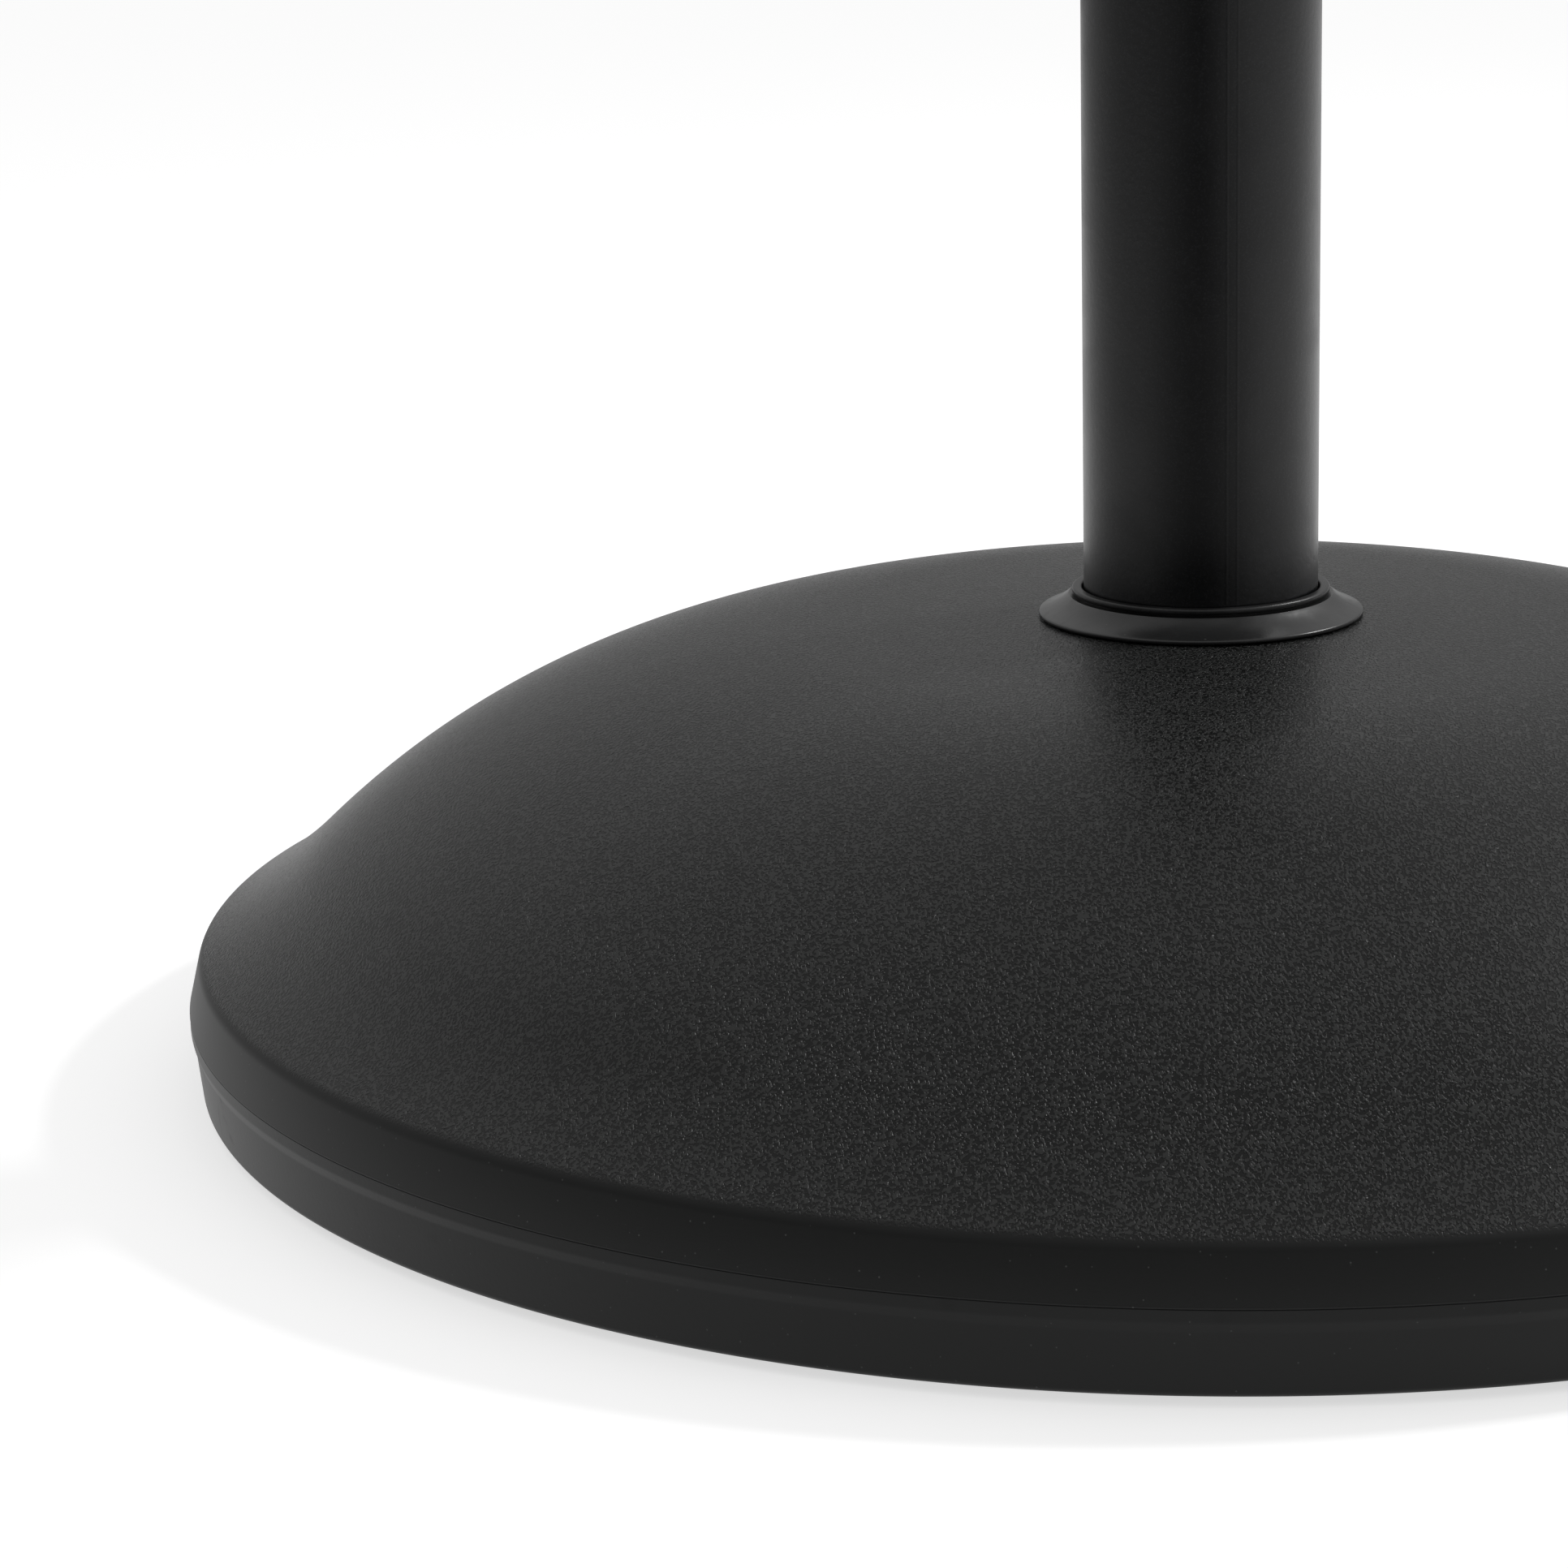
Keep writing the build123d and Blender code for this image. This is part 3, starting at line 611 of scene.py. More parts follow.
def ring_copies(piece, count, first_degrees, finish):
    """Repeat a piece round the Z axis, and keep its shading."""
    run_nodes(piece, ring_of, count=count, first_angle=math.radians(first_degrees), finish=finish)
    smooth_shade(piece)
    return piece


foot_circle_r = seam_r - 0.0338
foot_first = 30
foot_count = 6
cup_in = 0.0142
cup_out = cup_in + pan_wall
cup_section = [
    (cup_in, rib_under_z),
    (cup_out, rib_under_z),
    (cup_out, floor_under_z + post_root),
    (cup_in, floor_under_z + post_root),
]
cup_section = rounded(cup_section, {0: 0.0006, 1: 0.0006})
cups = turned_about("foot_cups", cup_section, (foot_circle_r, 0), smooth_black, 64)
ring_copies(cups, foot_count, foot_first, smooth_black)
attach(cups, "base")

screw_circle_r = 0.122
screw_first = 28.8
screw_count = 6
screw_seat_z = 0.0075
head_room_r = 0.00545
post_r = 0.009
post_section = [
    (head_room_r, rib_under_z),
    (post_r, rib_under_z),
    (post_r, floor_under_z + post_root),
    (head_room_r, floor_under_z + post_root),
]
post_section = rounded(post_section, {0: 0.0005, 1: 0.0006})
posts = turned_about("screw_posts", post_section, (screw_circle_r, 0), smooth_black, 40)
ring_copies(posts, screw_count, screw_first, smooth_black)
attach(posts, "base")

pour_r = 0.030
pour_circle_r = seam_r - 0.0638
pour_rim = 0.001
pour_section = [
    (pour_r, floor_under_z - pour_rim),
    (pour_r + pan_wall, floor_under_z - pour_rim),
    (pour_r + pan_wall, floor_under_z + post_root),
    (pour_r, floor_under_z + post_root),
]
pour_section = rounded(pour_section, {1: 0.0004})
pour_rims = turned_about("pour_rims", pour_section, (pour_circle_r, 0), smooth_black, 96)
ring_copies(pour_rims, 2, 120, smooth_black)
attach(pour_rims, "base")

# ---- Concrete ----
# Cast into the upturned cover through the two pour holes, so it fills the dome round the well and
# the screw bosses. Nothing of it shows once the plugs are in.
def concrete_finish():
    """Grey cement paste with darker sand grains and a coarse, uneven face."""
    grey = (0.36, 0.35, 0.33)
    material = new_finish("cement", grey, 0.9, 0.2)
    coords = millimetres(material)
    sand = ramp(material, noise(material, coords, 1.4, 3.0), 0.35, 0.65)
    tint(material, sand, tuple(0.7 * c for c in grey), grey)
    raise_surface(material, noise(material, coords, 4.0, 6.0), 0.9)
    return material


def finish_node(node, finish):
    """Give a CAD part, whose shape stays, its real finish."""
    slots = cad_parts[node].material_slots
    for part_slot in slots:
        part_slot.material = finish
    if not slots:
        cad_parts[node].data.materials.append(finish)


finish_node("concrete_fill", concrete_finish())

# ---- Filler plugs ----
# Push-in caps in the pan's plastic that close the pour holes from below. Each has a flange, a
# sprung skirt and a bar to pull it out by.
low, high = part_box("filler_plug_1")
plug_circle_r = math.hypot((low[0] + high[0]) / 2, (low[1] + high[1]) / 2)
plug_first = 120
plug_count = 2
plug_flange_r = (high[0] - low[0]) / 2
plug_skirt_r = 0.0297
plug_wall = 0.0025
plug_bar_z = low[2]
bar_proud = 0.002
plug_flange_z = plug_bar_z + bar_proud
plug_flange_top = plug_flange_z + plug_wall
plug_top = high[2]
plug_dish = 0.0008
plug_section = [
    (0.0, plug_flange_z + plug_dish),
    (plug_skirt_r - 2 * plug_wall, plug_flange_z + plug_dish),
    (plug_skirt_r - 1.6 * plug_wall, plug_flange_z),
    (plug_flange_r, plug_flange_z),
    (plug_flange_r, plug_flange_top),
    (plug_skirt_r, plug_flange_top),
    (plug_skirt_r, plug_top),
    (plug_skirt_r - plug_wall, plug_top),
    (plug_skirt_r - plug_wall, plug_flange_top),
    (0.0, plug_flange_top),
]
plug_section = rounded(plug_section, {2: 0.0004, 3: 0.0009, 4: 0.0004, 6: 0.0006, 7: 0.0006})
bar_length = 0.030
bar_width = 0.003
bar_edge = 0.0007


def bevelled_box(name, low_corner, high_corner, edge, steps=3):
    """A block with rounded edges, between two corners."""
    spots = [(x, y, z) for x in (0, 1) for y in (0, 1) for z in (0, 1)]
    corners = (low_corner, high_corner)
    points = [(corners[x][0], corners[y][1], corners[z][2]) for x, y, z in spots]
    faces = [(0, 1, 3, 2), (4, 6, 7, 5), (0, 4, 5, 1), (2, 3, 7, 6), (0, 2, 6, 4), (1, 5, 7, 3)]
    block = make_mesh(name, points, faces)
    soften = block.modifiers.new("edges", "BEVEL")
    soften.width = edge
    soften.segments = steps
    keep_result(block)
    return block


def merged(name, parts):
    """Several shapes of one piece, put into one mesh; each stays closed."""
    points, faces = [], []
    for part in parts:
        start = len(points)
        points += [tuple(v.co) for v in part.data.vertices]
        faces += [tuple(start + v for v in face.vertices) for face in part.data.polygons]
        finish = part.data.materials[0] if part.data.materials else None
        bpy.data.objects.remove(part)
    piece = make_mesh(name, points, faces)
    if finish:
        piece.data.materials.append(finish)
    smooth_shade(piece)
    return piece


for k in range(plug_count):
    centre_turn = Matrix.Rotation(math.radians(plug_first + k * 360 / plug_count), 4, "Z")
    centre_turn = centre_turn @ Matrix.Translation((plug_circle_r, 0, 0))
    half_bar = (bar_length / 2, bar_width / 2)
    bar_top = plug_flange_z + plug_dish + 0.0005
    bar_low = (-half_bar[0], -half_bar[1], plug_bar_z)
    bar = bevelled_box("bar", bar_low, (*half_bar, bar_top), bar_edge)
    body = turned("body", plug_section, smooth_black, 96)
    plug = merged(f"pour_plug_{k + 1}", [bar, body])
    plug.data.transform(centre_turn)
    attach(plug, "base")
    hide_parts(f"filler_plug_{k + 1}")

# ---- Feet ----
# Six moulded rubber pads pressed into cups under the pan, with rings that grip the paving.
low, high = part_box("foot_pad_1")
foot_r = (high[1] - low[1]) / 2
foot_height = high[2]
foot_edge = 0.0008
foot_groove = 0.0007
foot_ring_step = 0.0028


def rubber_finish(name, colour, roughness):
    """Moulded rubber: an even matt skin with a fine pebble and a grey bloom."""
    material = new_finish(name, colour, roughness, 0.35)
    coords = millimetres(material)
    raise_surface(material, noise(material, coords, 0.35, 2.0), 0.03)
    bloom = ramp(material, noise(material, coords, 9.0, 4.0), 0.45, 0.75)
    tint(material, bloom, colour, tuple(1.8 * c for c in colour))
    return material


foot_section = [(0.0, foot_height), (0.0, 0.0)]
ring_r = foot_ring_step
while ring_r < foot_r - foot_ring_step:
    half_ring = foot_ring_step / 6
    foot_section += [(ring_r - half_ring, 0.0), (ring_r, foot_groove), (ring_r + half_ring, 0.0)]
    ring_r += foot_ring_step
foot_section += [(foot_r - foot_edge, 0.0), (foot_r, foot_edge), (foot_r, foot_height)]
foot_rubber = rubber_finish("foot_rubber", (0.014, 0.014, 0.0145), 0.75)
feet = turned_about("rubber_feet", foot_section, (foot_circle_r, 0), foot_rubber, 72)
ring_copies(feet, foot_count, foot_first, foot_rubber)
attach(feet, "base")
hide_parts(*[f"foot_pad_{k + 1}" for k in range(foot_count)])

# ---- Shell screws ----
# Six zinc-plated self-tapping screws, driven up through the pan into the cover's bosses. Their
# pan heads have a cross recess and sit deep in the posts.
low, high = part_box("shell_screws")
screw_low_z = low[2]
screw_top_z = high[2]
screw_r = 0.0024
screw_head_r = 0.00475
screw_point = 0.0012
head_dome_r = 0.0105
head_dome_edge = 0.0040
head_edge_r = 0.00125
head_edge_centre = (0.0035, screw_seat_z - 0.0018)
recess_depth = 0.0016
recess_reach = 0.0026
recess_width = 0.0009


def zinc_finish():
    """Bright zinc plating with a fine grain and duller, slightly yellow patches."""
    silver = (0.60, 0.61, 0.62)
    material = new_finish("zinc_plate", silver, 0.34, 0.5, 1.0)
    coords = millimetres(material)
    patches = ramp(material, noise(material, coords, 3.0, 4.0), 0.35, 0.7)
    tint(material, patches, silver, (0.55, 0.54, 0.48))
    duller = maths(material, "MULTIPLY", patches, 0.16)
    set_roughness(material, maths(material, "ADD", duller, 0.28))
    raise_surface(material, noise(material, coords, 0.25, 2.0), 0.012)
    return material


zinc = zinc_finish()


def cut(piece, cutter):
    """Take one closed shape out of another, and throw the cutter away."""
    step = piece.modifiers.new("cut", "BOOLEAN")
    step.operation = "DIFFERENCE"
    step.solver = "EXACT"
    step.object = cutter
    keep_result(piece)
    bpy.data.objects.remove(cutter)
    smooth_shade(piece)


dome_end = -math.asin(head_dome_edge / head_dome_r)
head_section = arc((0.0, screw_low_z + head_dome_r), -head_dome_r, 0.0, dome_end, 8)
head_section += arc(head_edge_centre, head_edge_r, math.radians(140), math.radians(90), 5)
head_section += [
    (screw_head_r, screw_seat_z),
    (screw_r, screw_seat_z),
    (screw_r, screw_top_z - screw_point),
    (screw_r - screw_point, screw_top_z),
    (0.0, screw_top_z),
]
screws = turned("screws", head_section, zinc, 40)
for turn in (0, 90):
    half_slot = (recess_reach, recess_width / 2)
    recess_low = (-half_slot[0], -half_slot[1], screw_low_z - recess_depth)
    blade = bevelled_box("blade", recess_low, (*half_slot, screw_low_z + recess_depth), 0.0002, 1)
    blade.data.transform(Matrix.Rotation(math.radians(turn), 4, "Z"))
    cut(screws, blade)
screws.data.transform(Matrix.Translation((screw_circle_r, 0, 0)))
ring_copies(screws, screw_count, screw_first, zinc)
screws.name = "cover_screws"
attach(screws, "base")
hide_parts("shell_screws")

# ---- Centre bolt, washers, end plate and weld nut ----
# An M12 bolt comes up through a plain and a split washer and pulls the tube's end plate down on
# the dish. All are zinc-plated steel, shaped as they stand in the frame.
for node in ("centre_bolt", "spring_washer", "load_washer", "tube_end_plate", "tube_weld_nut"):
    finish_node(node, zinc)

# ---- Tube ----
# Seam-welded steel tube, powder coated black. The scarfed weld shows as two faint upright lines,
# and the coat rounds the cut ends. A hole in one side lets the clamp screw through.
low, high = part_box("tube")
tube_r = high[0]
tube_wall = 0.0012
tube_low_z, tube_high_z = low[2], high[2]
weld_azimuth = math.radians(-75)
weld_half = math.radians(2.6)
weld_line = math.radians(0.55)
weld_rise = 0.00005
clamp_low, clamp_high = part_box("clamp_boss")
clamp_z = (clamp_low[2] + clamp_high[2]) / 2
clamp_hole_r = 0.0043
tube_black = (0.0026, 0.0027, 0.0031)
sparkle_painted_grey = (0.0090, 0.0094, 0.0106)


def powder_coat():
    """Satin black powder coat: a soft orange peel, a fine sparkle painted as lighter grey flecks,
    and a few duller smears.
    """
    material = new_finish("powder_coat", tube_black, 0.33, 0.36)
    coords = millimetres(material)
    flakes = material.node_tree.nodes.new("ShaderNodeTexVoronoi")
    flakes.inputs["Scale"].default_value = 1 / 0.26
    join(material, coords, flakes.inputs["Vector"])
    shade = material.node_tree.nodes.new("ShaderNodeSeparateColor")
    join(material, flakes.outputs["Color"], shade.inputs["Color"])
    # Painted highlight: scattered flecks are painted lighter grey for the coat's sparkle; their
    # slight relief is a real bump.
    sparkle = ramp(material, shade.outputs["Green"], 0.72, 1.0)
    tint(material, sparkle, tube_black, sparkle_painted_grey)
    flake_relief = maths(material, "MULTIPLY", sparkle, 0.12)
    peel = maths(material, "ADD", noise(material, coords, 1.3, 1.0), flake_relief)
    raise_surface(material, peel, 0.025)
    smears = ramp(material, noise(material, coords, 16.0, 5.0, 0.8), 0.4, 0.75)
    set_roughness(material, maths(material, "ADD", maths(material, "MULTIPLY", smears, 0.06), 0.31))
    return material


coat = powder_coat()
tube_rows = 24
row_step = (tube_high_z - tube_low_z) / tube_rows
tube_path = [(tube_r - tube_wall, tube_low_z)]
tube_path += [(tube_r, tube_low_z + k * row_step) for k in range(tube_rows + 1)]
tube_path += [(tube_r - tube_wall, tube_high_z)]
tube_path = rounded(tube_path, {len(tube_path) - 2: 0.0004, len(tube_path) - 1: 0.0004})
tube = turned("steel_tube", tube_path, coat, 720)
for point in tube.data.vertices:
    x, y, z = point.co
    from_weld = abs(math.atan2(y, x) - weld_azimuth)
    if math.hypot(x, y) > tube_r - tube_wall / 2 and from_weld < weld_half + weld_line:
        edge_share = max(0.0, 1 - abs(from_weld - weld_half) / weld_line)
        point.co.xy *= 1 + edge_share * weld_rise / tube_r


def lay_along_clamp(piece):
    """Turn a shape made on the Z axis to lie along X at the clamp's height."""
    lying = Matrix.Rotation(math.radians(90), 4, "Y")
    piece.data.transform(Matrix.Translation((0, 0, clamp_z)) @ lying)


hole_in, hole_out = tube_r / 2, 1.5 * tube_r
hole = [(0.0, hole_in), (clamp_hole_r, hole_in), (clamp_hole_r, hole_out), (0.0, hole_out)]
drill = turned("drill", hole, coat, 48)
lay_along_clamp(drill)
cut(tube, drill)
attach(tube, "base")
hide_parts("tube")

# ---- Bush and pole seat ----
# Natural nylon mouldings: the flanged bush centres the tube in the well under the collar, and the
# cup inside the tube carries the end of the pole over a drain hole.
def nylon_finish():
    """Cream nylon, a little translucent-looking, with a faint flow mottle."""
    cream = (0.60, 0.58, 0.50)
    material = new_finish("nylon", cream, 0.42)
    coords = millimetres(material)
    mottle = ramp(material, noise(material, coords, 6.0, 3.0), 0.3, 0.7)
    tint(material, mottle, cream, (0.66, 0.65, 0.58))
    raise_surface(material, noise(material, coords, 0.7, 1.0), 0.02)
    return material


nylon = nylon_finish()
for node in ("tube_bush", "pole_seat"):
    finish_node(node, nylon)

# ---- Collar ----
# A conical cover ring, moulded in glossier black plastic, that rests on the dome and hides the
# well's mouth. It slides up the tube. Its foot has a thin upright edge and its top a dark groove.
low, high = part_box("collar_ring")
collar_r = high[0]
collar_low_z, collar_high_z = low[2], high[2]
seal_low, seal_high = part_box("collar_seal")
seal_lip_r = seal_high[0]
collar_gap = 0.0013
collar_bore_r = tube_r + collar_gap
collar_edge = 0.0008
collar_edge_r = 0.0005
collar_top_r = seal_lip_r + 0.0007
groove_r = seal_lip_r - 0.0010
groove_half = 0.00033
collar_black = (0.0105, 0.0107, 0.0108)


def collar_finish():
    """Semi-gloss plastic with a faint ripple, dull wiping marks and a little dust."""
    material = new_finish("collar_plastic", collar_black, 0.30, 0.5)
    coords = millimetres(material)
    raise_surface(material, noise(material, coords, 2.4, 2.0), 0.03)
    marks = ramp(material, noise(material, coords, 8.0, 5.0, 1.5), 0.5, 0.8)
    set_roughness(material, maths(material, "ADD", maths(material, "MULTIPLY", marks, 0.12), 0.28))
    specks = dust(material, coords, 1.0, 0.012)
    tint(material, specks, collar_black, (0.06, 0.06, 0.058))
    return material


cone_sag = 0.00025
cone_foot = (collar_r, collar_low_z + collar_edge)
cone_top = (collar_top_r, collar_high_z)
cone_steps = 8
cone_line = []
for k in range(1, cone_steps):
    share = k / cone_steps
    bow = cone_sag * math.sin(math.pi * share)
    r = cone_foot[0] + share * (cone_top[0] - cone_foot[0]) - bow
    cone_line.append((r, cone_foot[1] + share * (cone_top[1] - cone_foot[1]) - bow))
groove_floor_z = collar_high_z - groove_half
collar_path = [(collar_bore_r, collar_low_z), (collar_r, collar_low_z)]
collar_path += [cone_foot, *cone_line, cone_top]
collar_path += [(groove_r, groove_floor_z), (collar_bore_r, groove_floor_z)]
last_cone = 3 + len(cone_line)
collar_path = rounded(collar_path, {1: 0.0003, 2: collar_edge_r, last_cone: 0.00025})
collar = turned("collar_cone", collar_path, collar_finish())
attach(collar, "collar")
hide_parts("collar_ring")

# ---- Collar seal ----
# A soft rubber ring pressed into the collar's bore; its rolled lip closes on the tube, with a
# crisp groove between lip and cone.
seal_bore_r = tube_r + 0.0003
seal_top_z = seal_high[2]
lip_under_z = collar_high_z + groove_half
lip_edge_r = 0.0006
seal_path = [
    (seal_bore_r, seal_low[2]),
    (collar_bore_r, seal_low[2]),
    (collar_bore_r, lip_under_z),
    (seal_lip_r, lip_under_z),
    (seal_lip_r, seal_top_z),
    (seal_bore_r, seal_top_z),
]
seal_path = rounded(seal_path, {3: lip_edge_r, 4: lip_edge_r, 5: lip_edge_r})
seal = turned("seal_lip", seal_path, rubber_finish("seal_rubber", (0.0105, 0.0105, 0.0108), 0.36))
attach(seal, "collar")
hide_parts("collar_seal")

# ---- Reducer sleeve ----
# A ribbed plastic sleeve that hangs in the tube's mouth by its flange and narrows the bore for a
# slimmer pole. A slot from its lower end lets the clamp's tip through. It lifts straight out.
low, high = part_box("reducer_sleeve")
sleeve_low_z, sleeve_high_z = low[2], high[2]
sleeve_bore_r = 0.0193
sleeve_skin_r = sleeve_bore_r + 0.0018
sleeve_r = tube_r - tube_wall - 0.0001
sleeve_rib_width = 0.003
sleeve_rib_count = 8
slot_width = 0.014
slot_top_z = clamp_z + slot_width / 2
sleeve_plain = smooth_plastic("sleeve_plastic", (0.014, 0.014, 0.0145), 0.5, 0.35)
sleeve_path = [
    (sleeve_bore_r, sleeve_low_z),
    (sleeve_skin_r, sleeve_low_z),
    (sleeve_skin_r, tube_high_z),
    (tube_r, tube_high_z),
    (tube_r, sleeve_high_z),
    (sleeve_bore_r, sleeve_high_z),
]
sleeve_path = rounded(sleeve_path, {0: 0.0004, 1: 0.0004, 3: 0.0003, 4: 0.0009, 5: 0.0009})
sleeve = turned("sleeve_skin", sleeve_path, sleeve_plain, 192)
rib_low = (sleeve_skin_r - 0.0009, -sleeve_rib_width / 2, sleeve_low_z + 0.0002)
rib_high = (sleeve_r - 0.0001, sleeve_rib_width / 2, tube_high_z - 0.0001)
sleeve_ribs = bevelled_box("sleeve_ribs", rib_low, rib_high, 0.0006)
ring_copies(sleeve_ribs, sleeve_rib_count, 180 / sleeve_rib_count, sleeve_plain)
slot_low = (0.0, -slot_width / 2, sleeve_low_z - tube_wall)
slot_cutter = bevelled_box("slot_cutter", slot_low, (tube_r, slot_width / 2, slot_top_z), 0.0010)
cut(sleeve, slot_cutter)
for piece in (sleeve, sleeve_ribs):
    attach(piece, "sleeve")
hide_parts("reducer_sleeve")

# ---- Clamp boss and its weld ----
# A threaded steel boss, coped to the tube and welded all round, then coated with it. The bead
# follows the line where the two cylinders meet, with the small waves of a hand weld.
finish_node("clamp_boss", coat)
boss_r = (clamp_high[1] - clamp_low[1]) / 2
bead_size = 0.0016
bead_waves = 38.0
bead_depth = 0.09
bead_points = 160


def bead_tree():
    """Geometry Nodes that run a round bead along a closed line, with evenly spaced waves."""
    numbers = [(label, "Float") for label in ("Size", "Waves", "Depth")]
    tree, given = start_tree("weld_bead", (("Line", "Geometry"), *numbers))
    path = tree.nodes.new("GeometryNodeMeshToCurve")
    along = tree.nodes.new("GeometryNodeSplineParameter")
    phase = tree.nodes.new("ShaderNodeMath")
    turn = tree.nodes.new("ShaderNodeMath")
    wave = tree.nodes.new("ShaderNodeMath")
    swell = tree.nodes.new("ShaderNodeMath")
    section = tree.nodes.new("GeometryNodeCurvePrimitiveCircle")
    bead = tree.nodes.new("GeometryNodeCurveToMesh")
    phase.operation = "MULTIPLY"
    turn.operation = "MULTIPLY"
    turn.inputs[1].default_value = 2 * math.pi
    wave.operation = "SINE"
    swell.operation = "MULTIPLY_ADD"
    swell.inputs[2].default_value = 1.0
    section.inputs["Resolution"].default_value = 16
    tree.links.new(given.outputs["Line"], path.inputs["Mesh"])
    tree.links.new(along.outputs["Factor"], phase.inputs[0])
    tree.links.new(given.outputs["Waves"], phase.inputs[1])
    tree.links.new(phase.outputs[0], turn.inputs[0])
    tree.links.new(turn.outputs[0], wave.inputs[0])
    tree.links.new(wave.outputs[0], swell.inputs[0])
    tree.links.new(given.outputs["Depth"], swell.inputs[1])
    tree.links.new(given.outputs["Size"], section.inputs["Radius"])
    tree.links.new(path.outputs["Curve"], bead.inputs["Curve"])
    tree.links.new(section.outputs["Curve"], bead.inputs["Profile Curve"])
    tree.links.new(swell.outputs[0], bead.inputs["Scale"])
    return end_tree(tree, given, bead.outputs["Mesh"])


bead_line = []
for k in range(bead_points):
    a = 2 * math.pi * k / bead_points
    side_y = boss_r * math.cos(a)
    bead_line.append((math.sqrt(tube_r**2 - side_y**2), side_y, clamp_z + boss_r * math.sin(a)))
bead_links = [(k, (k + 1) % bead_points) for k in range(bead_points)]
bead = make_mesh("boss_weld", bead_line, [], bead_links)
run_nodes(bead, bead_tree(), size=bead_size, waves=bead_waves, depth=bead_depth, finish=coat)
smooth_shade(bead)
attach(bead, "base")

# ---- Clamp screw and its tip ----
# A zinc-plated M8 screw with a full-length thread; its hexagon head is moulded into the knob. The
# nylon tip swivels on its end, so that turning the screw doesn't scour the pole.
low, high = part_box("clamp_screw")
screw_start_x = low[0]
knob_low, knob_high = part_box("knob_grip")
thread_r = 0.0040
thread_pitch = 0.00125
thread_depth = 0.00068
thread_lead = 0.0009
thread_flat = 0.1
thread_flank = 0.78
knob_insert = 0.004
thread_end_x = knob_low[0] + knob_insert
thread_turn_steps = 48
pitch_steps = 10
rows = round((thread_end_x - screw_start_x) / thread_pitch * pitch_steps)
thread_points = []
for row in range(rows + 1):
    x = screw_start_x + (thread_end_x - screw_start_x) * row / rows
    from_end = min(x - screw_start_x, thread_end_x - x)
    lead_cut = thread_depth * max(0.0, 1 - from_end / thread_lead)
    for k in range(thread_turn_steps):
        share = k / thread_turn_steps
        wave = abs((x / thread_pitch - share) % 1.0 - 0.5) * 2
        flank = min(1.0, max(0.0, (wave - thread_flat) / thread_flank))
        r = min(thread_r - thread_depth * flank, thread_r - lead_cut)
        a = 2 * math.pi * share
        thread_points.append((x, r * math.cos(a), clamp_z + r * math.sin(a)))


def ring_skin(rows, around):
    """The faces of a skin laid over rings of points, closed with a flat face at each end."""
    faces = []
    for row in range(rows):
        for k in range(around):
            here = row * around + k
            on = row * around + (k + 1) % around
            faces.append((here, on, on + around, here + around))
    faces.append(tuple(reversed(range(around))))
    faces.append(tuple(rows * around + k for k in range(around)))
    return faces


thread = make_mesh("screw_thread", thread_points, ring_skin(rows, thread_turn_steps))
thread.data.materials.append(zinc)
smooth_shade(thread)
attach(thread, "knob")
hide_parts("clamp_screw")
finish_node("clamp_pad", nylon)

# ---- Knob and its cap ----
# A seven-lobed hand knob in glass-filled plastic, moulded over the screw's head, with a thin neck
# towards the boss. The recess in its face is closed by a press-in cap.
knob_r = 0.0225
lobe_count = 7
flute_r = 0.008
flute_depth = 0.0032
knob_edge = 0.002
neck_r = 0.009
neck_edge = 0.001
knob_bore_r = 0.00402
neck_length = 0.006
body_x = knob_low[0] + neck_length
face_x = knob_high[0]
cap_low, cap_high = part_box("knob_cap")
cap_r = (cap_high[1] - cap_low[1]) / 2
cap_seat_x = cap_low[0]
lobe_steps = 26
lobe_blend = 0.0011
knob_steps = lobe_count * lobe_steps


def lobed_radius(a):
    """The knob's outline: a circle cut by flutes, with softened corners between them."""
    from_flute = (a + math.pi / lobe_count) % (2 * math.pi / lobe_count) - math.pi / lobe_count
    centre_r = knob_r + flute_r - flute_depth
    across = centre_r * math.sin(from_flute)
    if abs(across) >= flute_r:
        return knob_r
    flute = centre_r * math.cos(from_flute) - math.sqrt(flute_r**2 - across**2)
    gap = knob_r - flute
    soft = (gap + math.sqrt(gap**2 + lobe_blend**2) - lobe_blend) / 2
    return knob_r - max(0.0, soft)


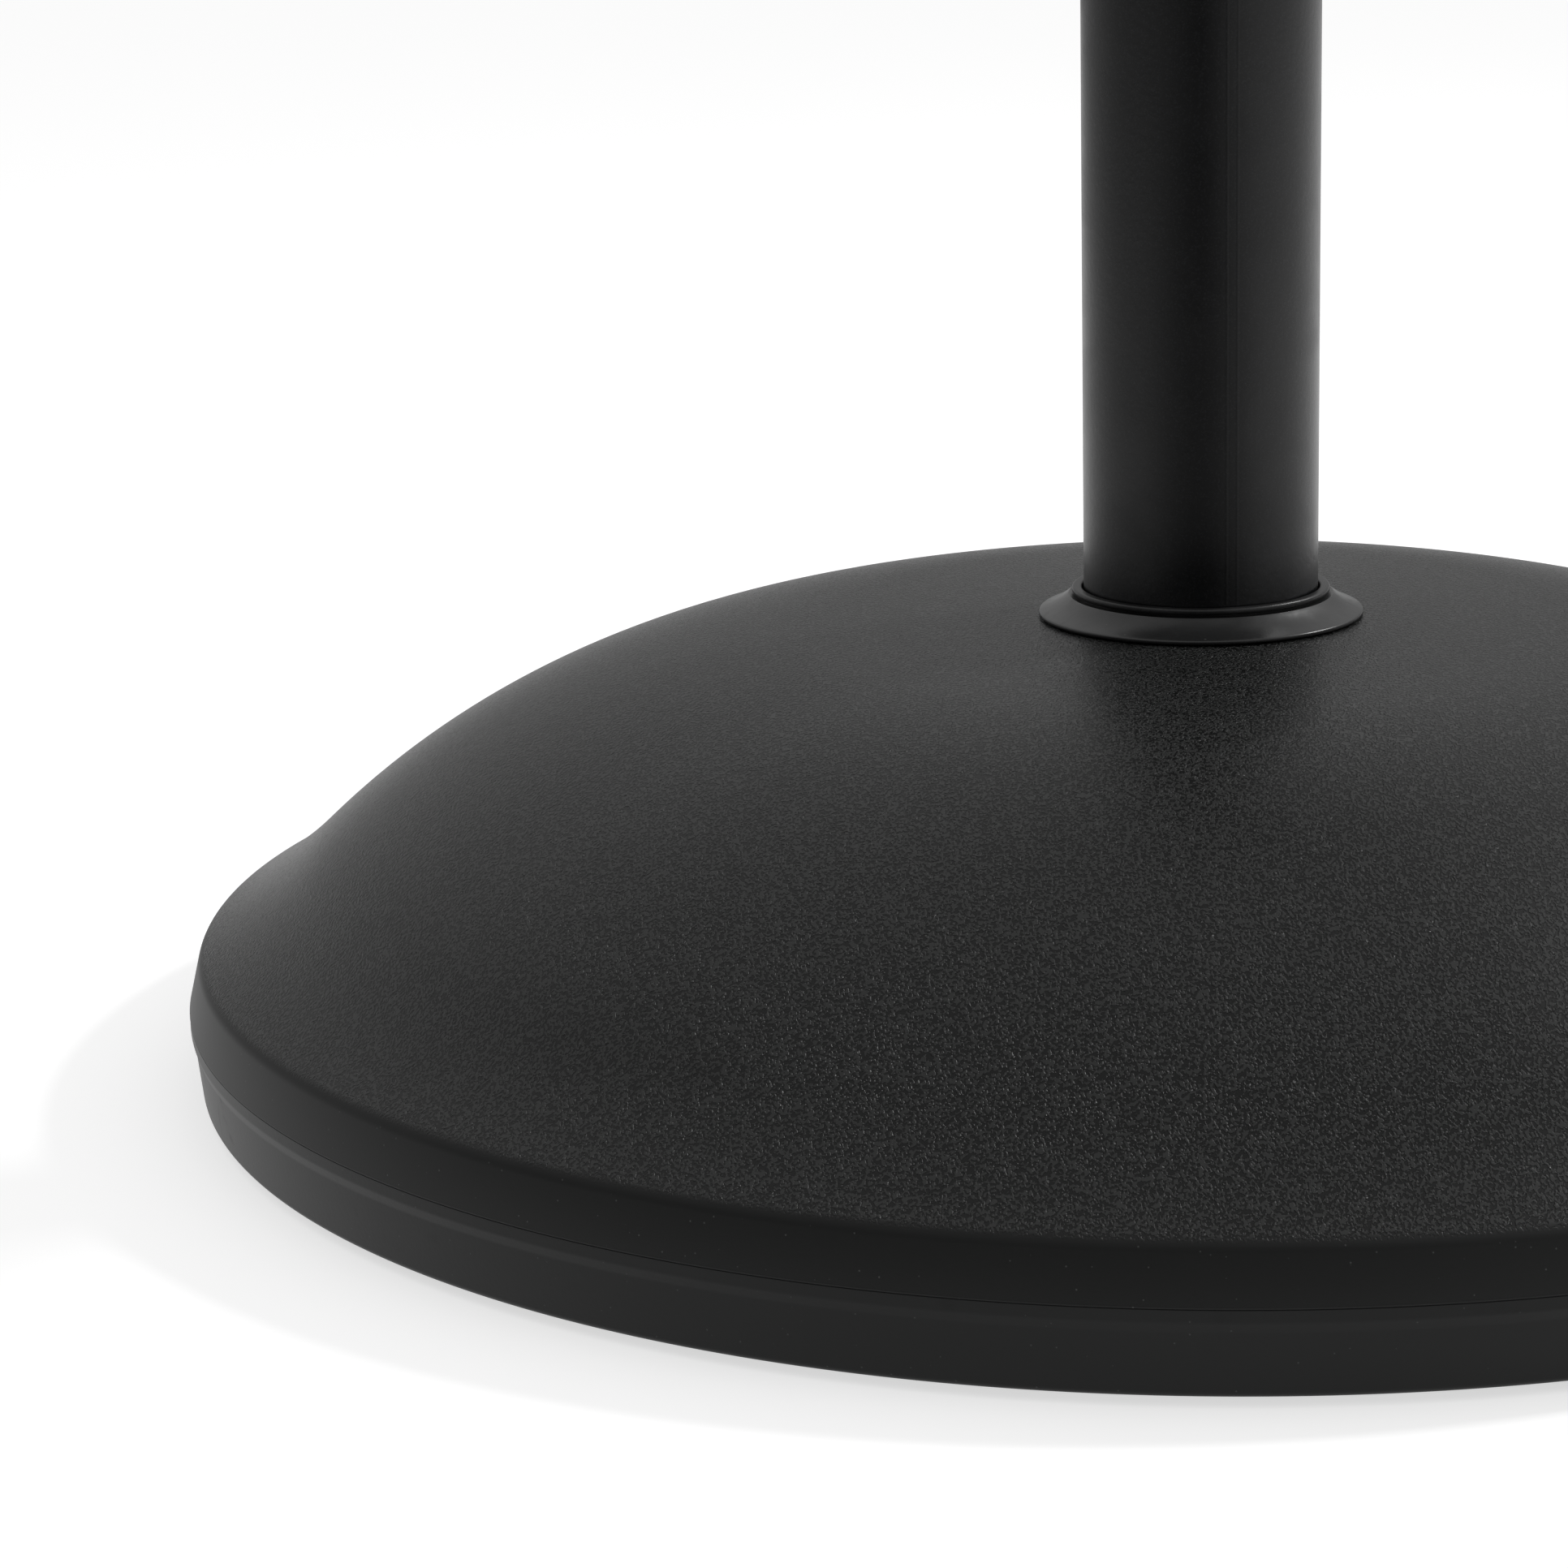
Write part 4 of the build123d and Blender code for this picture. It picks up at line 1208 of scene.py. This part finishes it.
def knob_ring(x, lobed, r):
    """One ring of the knob's skin: a plain circle, or the lobed outline set in by r."""
    ring = []
    for k in range(knob_steps):
        a = 2 * math.pi * k / knob_steps
        reach = lobed_radius(a) - r if lobed else r
        ring.append((x, reach * math.cos(a), clamp_z + reach * math.sin(a)))
    return ring


knob_rings = [
    (body_x - 0.001, False, knob_bore_r),
    (knob_low[0], False, knob_bore_r),
    (knob_low[0], False, neck_r - neck_edge),
    (knob_low[0] + neck_edge * 0.3, False, neck_r - neck_edge * 0.3),
    (knob_low[0] + neck_edge, False, neck_r),
    (body_x - 0.0008, False, neck_r),
    (body_x - 0.0002, False, neck_r + 0.0003),
    (body_x, False, neck_r + 0.0009),
]
edge_steps = 6
for k in range(edge_steps + 1):
    a = math.radians(90 * k / edge_steps)
    knob_rings.append((body_x + knob_edge * (1 - math.cos(a)), True, knob_edge * (1 - math.sin(a))))
for k in range(edge_steps + 1):
    a = math.radians(90 * k / edge_steps)
    knob_rings.append((face_x - knob_edge * (1 - math.sin(a)), True, knob_edge * (1 - math.cos(a))))
knob_rings += [
    (face_x, False, cap_r + 0.0007),
    (face_x - 0.0002, False, cap_r + 0.0002),
    (cap_seat_x, False, cap_r + 0.0001),
]
knob_points = [point for ring in knob_rings for point in knob_ring(*ring)]
knob = make_mesh("hand_knob", knob_points, ring_skin(len(knob_rings) - 1, knob_steps))


def knob_finish():
    """Glass-filled black plastic with a fine spark-eroded texture."""
    black = (0.012, 0.012, 0.0125)
    material = new_finish("knob_plastic", black, 0.48, 0.4)
    coords = millimetres(material)
    raise_surface(material, noise(material, coords, 0.45, 3.0), 0.06)
    wear_and_ridge_light = ramp(material, noise(material, coords, 5.0, 4.0), 0.5, 0.8)
    tint(material, wear_and_ridge_light, black, (0.02, 0.02, 0.0205))
    return material


knob_black = knob_finish()
knob.data.materials.append(knob_black)
smooth_shade(knob)
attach(knob, "knob")
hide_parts("knob_grip")

cap_path = [(0.0, cap_low[0]), (cap_r, cap_low[0]), (cap_r, cap_high[0]), (0.0, cap_high[0])]
cap = turned("knob_cover", rounded(cap_path, {2: 0.0010}), knob_black, 72)
lay_along_clamp(cap)
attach(cap, "knob")
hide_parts("knob_cap")
